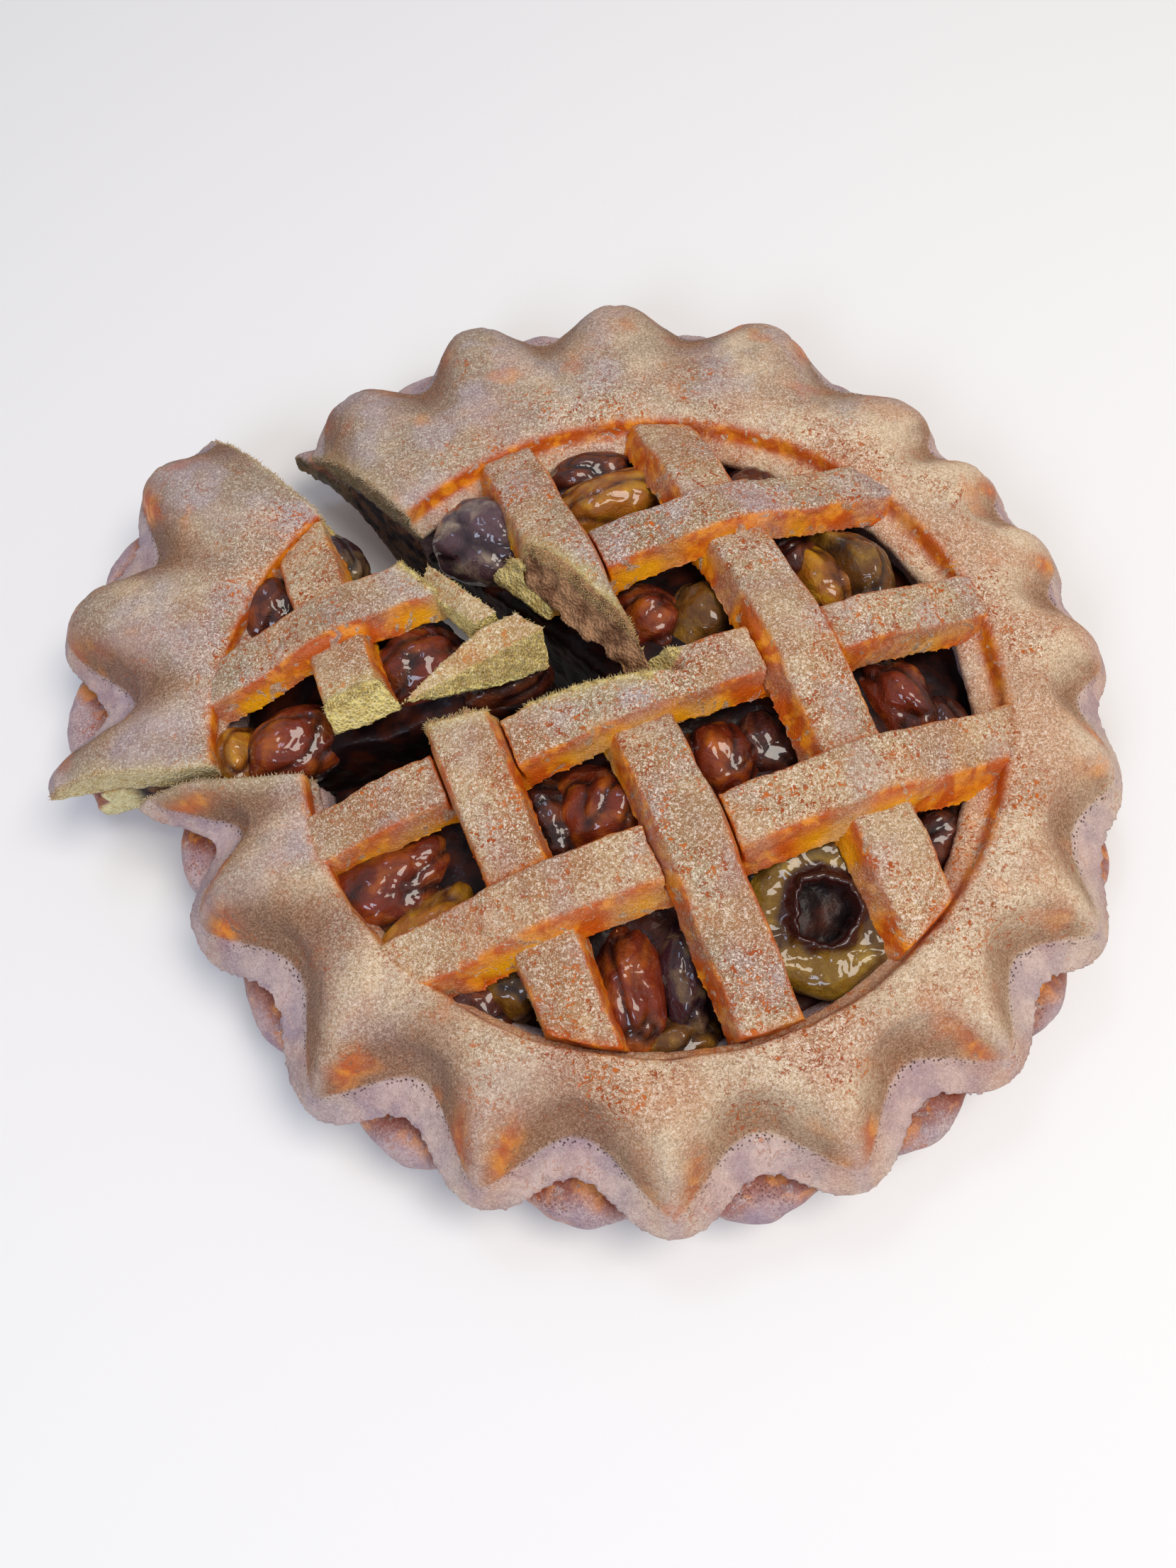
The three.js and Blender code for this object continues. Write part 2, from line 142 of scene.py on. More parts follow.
# ---------------------------------------------------------------- bottom crust
# The lower layer is a bowl of painted upholstery foam. Its flange lies under the upper crust, and
# its lip was pushed out by hand into a lump below each hollow of the crimped rim. It is spun as one
# section, crimped, cut through with the knife, and then roughened as open-cell foam is.

CRIMPS = [  # direction of a tip in degrees, its reach, reach of the hollow after it, its droop
    (-173.5, 125.5, 106, -0.3), (-158, 121, 110, 1), (-133, 126, 113, 1), (-113, 128, 116, 1),
    (-93, 131, 119, 1), (-74, 132, 120, 1), (-55, 131, 121, 1), (-38, 132, 121, 1), (-19, 127, 118, 1),
    (-4, 126, 116, 1), (11, 124, 115, 1), (24, 123, 113, 1), (37, 124, 114, 1), (60, 131, 117, 1),
    (82, 133, 117, 1), (102, 134, 114, 1), (121, 129, 116, 1), (139, 135, 119, 1), (161, 132.5, 110, 1),
]
SLICE_CRIMPS = CRIMPS[:16] + [(121, 129, 126, 1)] + CRIMPS[17:]  # shallower beside the upper cut
POINTED = 1.25  # tips of the upper edge in front, narrow between round hollows
BLUNT = 2.6  # tips of the upper edge elsewhere
BROAD = 2.8  # tips where the bevel ends
EDGE_RADIUS = 128.0
HOLE_CENTRE = (7.0, -10.0)
HOLE_RADIUS = 89.0
HOLLOW_SPREAD = 2.0
FLANGE_RADIUS = 128.5
FLANGE_LUMP = 3.0
FLANGE_FOLLOW = 1.3
COLUMNS_PER_CRIMP = 10
APEX = (5.0, -12.0)  # where both cuts meet
LOWER_CUT = 181.6
UPPER_CUT = 128.2
KNIFE_REACH = 260.0
KNIFE_HEIGHTS = (-10.0, 100.0)
LEAN_HEIGHT = 50.0  # where a leaning cut crosses the upright one
KNIFE_LEAN = 0.75
BARED = (0.6, 1.3)  # distances from a cut between which bare foam gives way to paint
FIBRE_RADII = (0.16, 0.05)
SLICE_SHIFT = (-23.0, 5.0, 0.0)
RIM_SPRING = 4.5


def ramp(values, low, high):
    """Smooth step from 0 at low to 1 at high."""
    t = np.clip((values - low) / (high - low), 0, 1)
    return t * t * (3 - 2 * t)


def bell(values, middle, width):
    """1 at the middle, and about a third at that width on both sides of it."""
    return np.exp(-((values - middle) / width) ** 2)


def towards(degrees):
    """The x and y of a step of 1 in a direction."""
    return math.cos(math.radians(degrees)), math.sin(math.radians(degrees))


def rolled_up(angle):
    """1 where thumbs pressed the hollows so hard that the crust's end face looks up, in front and
    most of all on the slice, and 0 on the far right side. The angle is in degrees."""
    around = np.abs((angle - 60 + 180) % 360 - 180)
    return ramp(around, 52, 92) + 0.4 * ramp(np.abs((angle - 160 + 180) % 360 - 180), 25, 12)


def tip_wave(phase, angle):
    """1 on a tip of the upper edge and 0 in the hollow between two."""
    sharpness = BLUNT + (POINTED - BLUNT) * ramp(-np.sin(np.radians(angle)), 0.05, 0.55)
    return 1 - np.sin(np.pi * phase) ** sharpness


def rim_at(points, crimps):
    """The crimped rim in the direction of each point: how far it is a tip, its reach, and how far
    its hollows are rolled up."""
    tips, reaches, hollows, _ = (np.array(column, float) for column in zip(*crimps))
    angle = np.degrees(np.arctan2(points[:, 1], points[:, 0]))
    i = (np.searchsorted(tips, angle, side="right") - 1) % len(tips)
    after = (i + 1) % len(tips)
    phase = ((angle - tips[i]) % 360) / ((tips[after] - tips[i]) % 360)
    wave = tip_wave(phase, angle)
    outer = reaches[i] + (reaches[after] - reaches[i]) * phase
    return wave, hollows[i] + (outer - hollows[i]) * wave, rolled_up(angle)


def spun(profile, crimps):
    """A ring or bowl spun from a closed section of (r, z at tips, z in hollows, hole, crimp, lip,
    spread, crease): the later numbers say how far a point follows the opening, the crimps, the
    lip's lumps and the hollows' slope, and how sharp the edge through it stays."""
    columns = COLUMNS_PER_CRIMP * len(crimps)
    bm = bmesh.new()
    number = bm.verts.layers.int.new("number")
    crease = bm.edges.layers.float.new("crease_edge")
    section = []
    for i, row in enumerate(profile):
        section.append(bm.verts.new((row[0], 0, row[1])))
        section[-1][number] = i
    closed = zip(section, section[1:] + section[:1])
    sides = [bm.edges.new(pair) for pair in closed if pair[0].co.x > 0 or pair[1].co.x > 0]
    bmesh.ops.spin(
        bm, geom=section + sides, cent=(0, 0, 0), axis=(0, 0, 1), dvec=(0, 0, 0),
        angle=math.tau, steps=columns, space=Matrix.Identity(4), use_merge=True,
    )
    bmesh.ops.remove_doubles(bm, verts=bm.verts, dist=1e-3)
    bmesh.ops.recalc_face_normals(bm, faces=bm.faces)
    for edge in bm.edges:
        first, second = (vert[number] for vert in edge.verts)
        edge[crease] = profile[first][7] if first == second else 0
    for vert in bm.verts:
        r, tip_z, hollow_z, hole, crimp, lip, spread, _ = profile[vert[number]]
        if r == 0:
            continue
        column = round(math.atan2(vert.co.y, vert.co.x) / math.tau * columns) % columns
        i, phase = column // COLUMNS_PER_CRIMP, column % COLUMNS_PER_CRIMP / COLUMNS_PER_CRIMP
        tip, reach, hollow, droop = crimps[i]
        next_tip, next_reach, _, next_droop = crimps[(i + 1) % len(crimps)]
        angle = tip + (next_tip - tip) % 360 * phase
        x, y = towards(angle)
        broad = spread > 0 or lip > 0
        wave = 1 - math.sin(math.pi * phase) ** BROAD if broad else tip_wave(phase, angle)
        rolled = spread * (1 - wave) * (1 if broad else rolled_up(angle))
        outer = reach + (next_reach - reach) * phase
        along = HOLE_CENTRE[0] * x + HOLE_CENTRE[1] * y
        across = HOLE_CENTRE[0] ** 2 + HOLE_CENTRE[1] ** 2 - along ** 2
        opening = along + math.sqrt(HOLE_RADIUS ** 2 - across) - HOLE_RADIUS
        lump = FLANGE_FOLLOW * (outer - EDGE_RADIUS) - FLANGE_LUMP * math.cos(math.tau * phase)
        r += hole * opening + crimp * (hollow + (outer - hollow) * wave - EDGE_RADIUS) + lip * lump
        r += rolled * HOLLOW_SPREAD
        drooped = (tip_z - hollow_z) * wave
        drooped *= droop + (next_droop - droop) * phase if drooped < 0 else 1
        vert.co = (r * x, r * y, hollow_z + drooped + min(rolled, 0) * HOLLOW_SPREAD)
    return bm


def new_piece(name, bm, *modifiers):
    """An object from a bmesh with its modifiers already applied, each given as (kind, settings)."""
    mesh = bpy.data.meshes.new(name)
    bm.to_mesh(mesh)
    bm.free()
    piece = bpy.data.objects.new(name, mesh)
    bpy.context.collection.objects.link(piece)
    for kind, settings in modifiers:
        modifier = piece.modifiers.new(kind.lower(), kind)
        for setting, value in settings.items():
            setattr(modifier, setting, value)
    if modifiers:
        graph = bpy.context.evaluated_depsgraph_get()
        piece.data = bpy.data.meshes.new_from_object(piece.evaluated_get(graph))
        piece.modifiers.clear()
        bpy.data.meshes.remove(mesh)
    return piece


def knife(lower_cut, upper_cut, lower_lean=0.0, upper_lean=0.0):
    """The wedge between two cuts from the apex, as a cutter that is deleted at the end. A leaning
    cut moves sideways as it rises, outwards if positive."""
    lower, upper = towards(lower_cut), towards(upper_cut)
    opening = math.sin(math.radians(lower_cut - upper_cut))
    bm = bmesh.new()
    for height in KNIFE_HEIGHTS:
        rise = height - LEAN_HEIGHT
        tip = [APEX[i] - (lower_lean * upper[i] + upper_lean * lower[i]) * rise / opening for i in (0, 1)]
        bm.verts.new((*tip, height))
        for x, y in (lower, upper):
            bm.verts.new((tip[0] + KNIFE_REACH * x, tip[1] + KNIFE_REACH * y, height))
    bmesh.ops.convex_hull(bm, input=bm.verts)
    bmesh.ops.recalc_face_normals(bm, faces=bm.faces)
    return new_piece("cutter", bm)


def minus(cutter):
    return ("BOOLEAN", {"object": cutter, "operation": "DIFFERENCE", "solver": "MANIFOLD"})


def within(cutter):
    return ("BOOLEAN", {"object": cutter, "operation": "INTERSECT", "solver": "MANIFOLD"})


def remeshed(size):
    return ("REMESH", {"mode": "VOXEL", "voxel_size": size})


def smoothed(levels):
    return ("SUBSURF", {"levels": levels, "render_levels": levels})


def points_of(piece, what="co"):
    """A piece's vertices, or their normals, as rows of three numbers."""
    flat = np.empty(3 * len(piece.data.vertices))
    piece.data.vertices.foreach_get(what, flat)
    return flat.reshape(-1, 3)


def move_to(piece, points):
    """Moves a piece's vertices to new places."""
    piece.data.vertices.foreach_set("co", points.ravel())
    piece.data.update()


def push(piece, distances):
    """Moves each vertex along its normal."""
    move_to(piece, points_of(piece) + points_of(piece, "normal") * distances[:, None])


def grain(points, size, seed=0):
    """Smooth noise between about -1 and 1 at each point, with lumps about size mm across."""
    return np.array([noise.noise(Vector(p)) for p in points / size + seed * 7.31])


def creases(points, size, seed, sharpness):
    """1 along thin lines that wander about size mm apart, and 0 between them."""
    return np.clip(1 - sharpness * np.abs(grain(points, size, seed)), 0, 1) ** 2


def pores(points, size, seed=0):
    """0 in the middle of an open cell of foam, rising to about 1 on the walls between cells."""
    return np.array([noise.voronoi(Vector(p))[0][0] for p in points / size + seed * 5.17])


def from_cut(points, cuts):
    """Distance of each point from the nearest of the faces that the knife left. A cut is given by
    its direction in degrees, the side that its lean is measured to, and its lean."""
    nearest = np.full(len(points), np.inf)
    for cut, side, lean in cuts:
        x, y = towards(cut)
        east, north = points[:, 0] - APEX[0], points[:, 1] - APEX[1]
        off = side * (north * x - east * y) - lean * (points[:, 2] - LEAN_HEIGHT)
        off = np.where(east * x + north * y > -3, np.abs(off) / math.hypot(1, lean), np.inf)
        nearest = np.minimum(nearest, off)
    return nearest


def spring(piece):
    """The rim sprang aside where the knife came out at the lower cut, on both sides of it."""
    points = points_of(piece)
    near = bell(from_cut(points, [(LOWER_CUT, 1, 0.0)]), 0, 20)
    points[:, 1] += RIM_SPRING * near * ramp(np.hypot(*points[:, :2].T), 88, 122)
    move_to(piece, points)


def mark(piece, **masks):
    """Stores masks for the paint: one number for each vertex, or one for all of them."""
    for name, values in masks.items():
        layer = piece.data.attributes.new(name, "FLOAT", "POINT")
        everywhere = np.broadcast_to(np.clip(values, 0, 1), len(piece.data.vertices))
        layer.data.foreach_set("value", everywhere.astype(np.float32))


def finish_piece(piece, material, slot, node, shift=(0, 0, 0)):
    """Puts a piece modelled in mm round the pie's axis in its place, gives it its material, and hides
    the CAD part that it stands for.
    """
    place = PIE_AXIS + Vector(shift) * MM
    piece.data.transform(Matrix.Translation(place) @ Matrix.Scale(MM, 4))
    piece.data.shade_smooth()
    piece.data.materials.clear()
    piece.data.materials.append(material)
    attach(piece, "root")
    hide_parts(node)


def add_fibres(piece, where, normals, length, seed, bare, finish):
    """Loose fibres that the knife left along an edge: a thin leaning spike at each vertex there."""
    if not where.any():
        return
    chance = random.Random(seed)
    bm = bmesh.new()
    for root, outward in zip(points_of(piece)[where], normals[where]):
        lean = Vector(outward) + Vector([chance.uniform(-0.8, 0.8) for _ in range(3)])
        lean.z *= 0.4
        lean.normalize()
        reach = length * chance.uniform(0.4, 1.3)
        turned = lean.to_track_quat("Z", "Y").to_matrix().to_4x4()
        bmesh.ops.create_cone(
            bm, cap_ends=True, segments=3, radius1=FIBRE_RADII[0], radius2=FIBRE_RADII[1], depth=reach,
            matrix=Matrix.Translation(Vector(root) + lean * reach * 0.35) @ turned,
        )
    fibres = new_piece(piece.name + "_fibres", bm)
    mark(
        fibres, cut=bare, specked=0.3, greyed=0, glazed=0, amber=0, shaded=0, lilac=0, pitted=0,
        stained=0,
    )
    finish_piece(fibres, *finish)


def painted_foam(name, peach, cream, grey, glaze, amber, bare, stain):
    """Latex paint dabbed on open-cell foam: matt peach, cream and greyish coats over an orange-brown
    ground that shows in the open cells as short worm-like dashes. Its fibres are picked out pale
    where they rise and brown where they sink, partly as the paint's grain and partly as painted
    highlight and painted shade. Pieces carry masks that say where it is greyed (on the crust's far
    and left side as painted shade), glazed, darkened with painted shade, left lilac, pitted, densely
    specked, cut bare or stained (on the pie's own cut faces also darkened as painted shade)."""
    material = bpy.data.materials.new(name)
    material.use_nodes = True
    tree = material.node_tree
    place = add(tree, "ShaderNodeTexCoord", output="Object")
    mask = {
        word: add(tree, "ShaderNodeAttribute", output="Fac", attribute_name=word)
        for word in (
            "greyed", "glazed", "amber", "shaded", "lilac", "pitted", "specked", "cut", "stained")
    }

    def patches(size, low, high, detail=2.0, distortion=0.0, roughness=0.5, crowding=0.0, within=1.0):
        """Cloudy patches about size mm across, where noise and any crowding rise from low to high."""
        cloud = add(tree, "ShaderNodeTexNoise", {
            "Vector": place, "Scale": 1 / (size * MM), "Detail": detail, "Distortion": distortion,
            "Roughness": roughness,
        })
        crowded = add(tree, "ShaderNodeMath", {0: cloud, 1: crowding}, operation="ADD")
        risen = add(
            tree, "ShaderNodeMapRange", {"Value": crowded, "From Min": low, "From Max": high},
            interpolation_type="SMOOTHSTEP",
        )
        return add(tree, "ShaderNodeMath", {0: risen, 1: within}, operation="MULTIPLY")

    def dabbed(colour, where, paint, strength=1.0):
        """A coat with another paint dabbed over it where a mask says, at that strength."""
        amount = add(tree, "ShaderNodeMath", {0: where, 1: strength}, operation="MULTIPLY")
        return add(tree, "ShaderNodeMix", {0: amount, 6: colour, 7: paint}, output=2, data_type="RGBA")

    # the foam itself: fine fibres, worm-like lines, pin-pricks and cells, cut to where each shows
    fibres = add(tree, "ShaderNodeTexNoise", {
        "Vector": place, "Scale": 1 / (0.55 * MM), "Detail": 2.0, "Distortion": 1.0, "Roughness": 0.6})
    worm = add(tree, "ShaderNodeTexNoise", {
        "Vector": place, "Scale": 1 / (1.5 * MM), "Detail": 0.5, "Distortion": 1.2})
    worm = add(tree, "ShaderNodeMath", {0: worm, 1: 0.5}, operation="SUBTRACT")
    worm = add(tree, "ShaderNodeMath", {0: worm}, operation="ABSOLUTE")
    pits = add(tree, "ShaderNodeTexVoronoi", {"Vector": place, "Scale": 1 / (0.9 * MM)})
    cells = add(tree, "ShaderNodeTexVoronoi", {"Vector": place, "Scale": 1 / (0.8 * MM)})
    pale_and_lit_fibres, dark_and_shaded_fibres, shade_mottle, worm, pit, rare, pore_shade = (
        add(
            tree, "ShaderNodeMapRange", {"Value": pattern, "From Min": low, "From Max": high},
            interpolation_type="SMOOTHSTEP",
        )
        for pattern, low, high in (
            (fibres, 0.50, 0.62), (fibres, 0.48, 0.36), (fibres, 0.38, 0.62), (worm, 0.075, 0.035),
            (pits, 0.36, 0.24), (pits, 0.17, 0.10), (cells, 0.34, 0.12),
        )
    )

    # brushed paint in patches, and the fibres picked out pale where they rise and brown where they
    # sink: partly the paint's grain, partly painted highlight on raised fibres and painted shade below
    sandy = add(tree, "ShaderNodeMath", {0: mask["specked"], 1: 0.42, 2: 0.36}, operation="MULTIPLY_ADD")
    colour = dabbed(linear(peach), patches(20, 0.42, 0.58, 3.0), linear(cream))
    # greyed patches where a piece marks them; on the crust's far and left side this is painted shade
    greys = dabbed(linear(grey), patches(16, 0.46, 0.60, 3.0), linear("#A39494"))
    colour = dabbed(colour, patches(13, 0.55, 1.15, 4.0, 0.3, crowding=mask["greyed"]), greys, 0.9)
    colour = dabbed(colour, pale_and_lit_fibres, linear("#FFF4E2"), sandy)
    colour = dabbed(colour, dark_and_shaded_fibres, linear("#7A5434"), sandy)
    lilacs = dabbed(linear("#A08A9A"), patches(7, 0.38, 0.62, 5.0), linear("#C6AEAE"))
    colour = dabbed(colour, mask["lilac"], lilacs, 0.72)
    # painted shade: brown dabbed where a piece marks it shaded, mottled by the fibres
    shade_browns = dabbed(linear("#6A432A"), shade_mottle, linear("#96694A"))
    colour = dabbed(colour, mask["shaded"], shade_browns, 0.78)

    # orange-brown ground in the open cells, as short worm-like dashes and flecks
    dashes = patches(1.6, 0.50, 0.56, 1.0, within=worm)
    flecks = patches(0.8, 0.60, 0.67, 1.0, 0.8, within=patches(3.0, 0.46, 0.56, within=0.7))
    specks = add(tree, "ShaderNodeMath", {0: dashes, 1: flecks}, operation="MAXIMUM")
    crowd = add(tree, "ShaderNodeMath", {0: mask["specked"], 1: 2.4}, operation="DIVIDE")
    ground = dabbed(linear("#A04410"), patches(6, 0.42, 0.60), linear("#C4641E"))
    colour = dabbed(colour, specks, ground, patches(14, 0.50, 0.8125, 4.0, 0.0, 0.6, crowding=crowd))

    # thin orange glaze, pooled in the corners, with pale paint dragged dry over it
    dragged = patches(5.5, 0.59, 0.64, 4.0, 1.5)
    clear = add(tree, "ShaderNodeMath", {0: dragged, 1: -0.8, 2: 1.0}, operation="MULTIPLY_ADD")
    glazed = add(tree, "ShaderNodeMath", {0: mask["glazed"], 1: clear}, operation="MULTIPLY")
    runny = dabbed(linear(glaze), patches(5, 0.44, 0.66, 3.0, 0.5), linear("#F09018"))
    colour = dabbed(colour, glazed, dabbed(runny, mask["amber"], linear(amber)))

    # pin-pricks, and the yellow foam that a knife lays bare, with painted shade in the pore of every
    # cell and a painted highlight on its raised fibres
    pit = add(tree, "ShaderNodeMath", {0: pit, 1: mask["pitted"]}, operation="MULTIPLY")
    colour = dabbed(colour, pit, linear("#45291F"))
    colour = dabbed(colour, rare, linear("#45291F"), patches(4.5, 0.62, 0.68, within=0.7))
    foam = dabbed(linear(bare), pore_shade, linear("#6A4A20"), 0.75)
    foam = dabbed(foam, patches(4, 0.46, 0.64, 3.0), linear("#BE9A40"), 0.55)
    foam = dabbed(foam, pale_and_lit_fibres, linear("#FBF3CF"), 0.45)
    # stain on cut faces: syrup and paint soaked in, and on the pie's own cut faces also painted shade
    stains_and_shade = dabbed(linear(stain), patches(5, 0.42, 0.62, 4.0), linear("#7E563A"))
    colour = dabbed(colour, mask["cut"], dabbed(foam, mask["stained"], stains_and_shade))

    # the relief of the fibres, with the specks, pits and pores sunk below it
    height = add(tree, "ShaderNodeMath", {0: fibres, 1: 0.8}, operation="MULTIPLY")
    bare_cells = add(tree, "ShaderNodeMath", {0: cells, 1: mask["cut"]}, operation="MULTIPLY")
    for part, depth in ((specks, -0.3), (pit, -0.8), (bare_cells, 2.0)):
        height = add(tree, "ShaderNodeMath", {0: part, 1: depth, 2: height}, operation="MULTIPLY_ADD")
    bump = add(tree, "ShaderNodeBump", {"Height": height, "Strength": 0.8, "Distance": 0.45 * MM})
    matt = add(tree, "ShaderNodeMath", {0: glazed, 1: -0.42, 2: 0.72}, operation="MULTIPLY_ADD")
    connect(tree, tree.nodes["Principled BSDF"], {
        "Base Color": colour, "Normal": bump, "Roughness": matt, "Specular IOR Level": 0.28})
    return material


slice_knife = knife(LOWER_CUT, UPPER_CUT)
UPRIGHT_CUTS = [(LOWER_CUT, 1, 0.0), (UPPER_CUT, -1, 0.0)]
HALVES = (  # how the names start, what the knife does, the crimps, the shift
    ("", minus(slice_knife), CRIMPS, (0, 0, 0)),
    ("slice_", within(slice_knife), SLICE_CRIMPS, SLICE_SHIFT),
)
FOAM_TOP = 34.15  # the flange's upper face, under the upper crust

lower_foam = painted_foam(
    "latex_on_foam_lower", "#B09094", "#C4ACA8", "#988694", "#96401E", "#A8602C", "#EADCA0", "#2E2024")

BOTTOM_SECTION = [  # r, z at tips, z in hollows, hole, crimp, lip, spread, crease
    (0, 0, 0, 0, 0, 0, 0, 0),
    (87, 0, 0, 0.3, 0, 0, 0, 0),
    (90, 0.4, 0.4, 0.3, 0, 0, 0, 0),
    (93, 2.5, 2.5, 0.3, 0, 0, 0, 0),
    (104, 19, 19, 0.3, 0, 0, 0, 0),
    (111, 20, 21, 0.15, 0, 0.3, 0, 0),
    (FLANGE_RADIUS - 8, 16.5, 17, 0, 0, 0.8, 0, 0),
    (FLANGE_RADIUS - 1.5, 12.5, 13.5, 0, 0, 1, 0, 0.2),
    (FLANGE_RADIUS, 16.5, 18, 0, 0, 1, 0, 0),
    (FLANGE_RADIUS - 3, 20.5, 22.5, 0, 0, 1, 0, 0),
    (FLANGE_RADIUS - 8, 20.8, 22.2, 0, 0.3, 0.7, 0, 0),
    (122, FOAM_TOP - 11.6, FOAM_TOP - 6.6, 0, 1, 0, 0, 0),
    (117, FOAM_TOP - 7.7, FOAM_TOP - 3.2, 0.1, 0.8, 0, 0, 0),
    (105, FOAM_TOP - 1.8, FOAM_TOP - 0.3, 0.6, 0.25, 0, 0, 0),
    (85, FOAM_TOP, FOAM_TOP, 1, 0, 0, 0, 0.4),
    (80, 10, 10, 0.5, 0, 0, 0, 0.4),
    (0, 10, 10, 0, 0, 0, 0, 0),
]

for half, knifed, crimps, shift in HALVES:
    name = half + "bottom_crust"
    piece = new_piece(name + "_foam", spun(BOTTOM_SECTION, crimps), smoothed(1), knifed, remeshed(1.35))
    points = points_of(piece)
    _, reach, _ = rim_at(points, crimps)
    radius = np.hypot(*points[:, :2].T)
    cut = 1 - ramp(from_cut(points, UPRIGHT_CUTS), *BARED)
    flange = ramp(radius, 106, 114)
    lumps = 0.9 * grain(points, 9, 1) + 0.35 * grain(points, 4, 2)
    rough = 0.5 * grain(points, 2.4, 3) + 0.4 * pores(points, 2.0) - 0.2
    push(piece, (flange * lumps * (1 - cut) + cut * rough) * ramp(points[:, 2], 0.5, 3))
    spring(piece)
    # the recess under the upper crust's edge: red-brown glaze, and painted shade where shade falls under
    # it
    recess = (1 - ramp(radius - reach, 6, 14)) * flange * ramp(points[:, 2], 15, 21)
    mark(
        piece, cut=cut, amber=0,
        # painted shade: the pie's own cut face is stained dark all over; the slice's only low down, by
        # syrup
        stained=np.maximum(1 - ramp(radius, 104, 110), 0.0 if half else 0.85),
        glazed=0.75 * recess + 0.25 * ramp(grain(points, 12, 4), 0.2, 0.6),
        shaded=0.65 * recess * ramp(grain(points, 6, 5), -0.4, 0.5) + 0.1,
        greyed=0.2, lilac=flange * (1 - recess) * ramp(grain(points, 16, 6), -0.75, 0.0),
        pitted=0.5 * flange * ramp(grain(points, 7, 7), 0.0, 0.5), specked=0.2 * flange,
    )
    finish_piece(piece, lower_foam, "lower_crust_foam", name, shift)

# ---------------------------------------------------------------- upper crust
# The upper layer is a broad ring of the same foam, crimped between finger and thumb: it rolls down
# to a bevelled edge in the hollows and is pinched up to a ridge at the tips. A step inside the
# opening shows the layer below. Brown paint and painted shade are dabbed along the hollows, and
# orange paint along the pinches.

upper_foam = painted_foam(
    "latex_on_foam_upper", "#CA9E7A", "#DCC09C", "#96806C", "#C4560E", "#E0901A", "#EAD6A0", "#6A543A")

UPPER_SECTION = [  # columns as in BOTTOM_SECTION
    (82, 33.6, 33.6, 1, 0, 0, 0, 0.3),
    (80.6, 37.0, 37.0, 1, 0, 0, 0, 0.4),
    (82.0, 38.8, 38.8, 1, 0, 0, 0, 0),
    (86.6, 39.2, 39.2, 1, 0, 0, 0, 0.5),
    (88.4, 43.4, 43.4, 1, 0, 0, 0, 0.6),
    (91.5, 44.8, 44.8, 0.97, 0, 0, 0, 0),
    (100, 45, 44.7, 0.8, 0.1, 0, 0, 0),
    (108, 45, 43.4, 0.4, 0.35, 0, 0, 0),
    (115, 43.8, 40.8, 0.1, 0.7, 0, 0, 0),
    (120.5, 41.2, 38.6, 0, 0.9, 0, -0.7, 0),
    (125, 37.2, 37.2, 0, 1, 0, -1.2, 0),
    (128.7, 31.5, 35.4, 0, 1, 0, -1.5, 1),
    (133, 22.5, 29, 0, 1, 0, 1, 0.8),
    (130, 21.5, 28, 0, 1, 0, 0.8, 0),
    (117, 29, 31.8, 0.1, 0.8, 0, 0, 0),
    (105, 34.4, 34.4, 0.6, 0.25, 0, 0, 0),
]

LEDGE_NARROWING = 5.5  # towards the left front

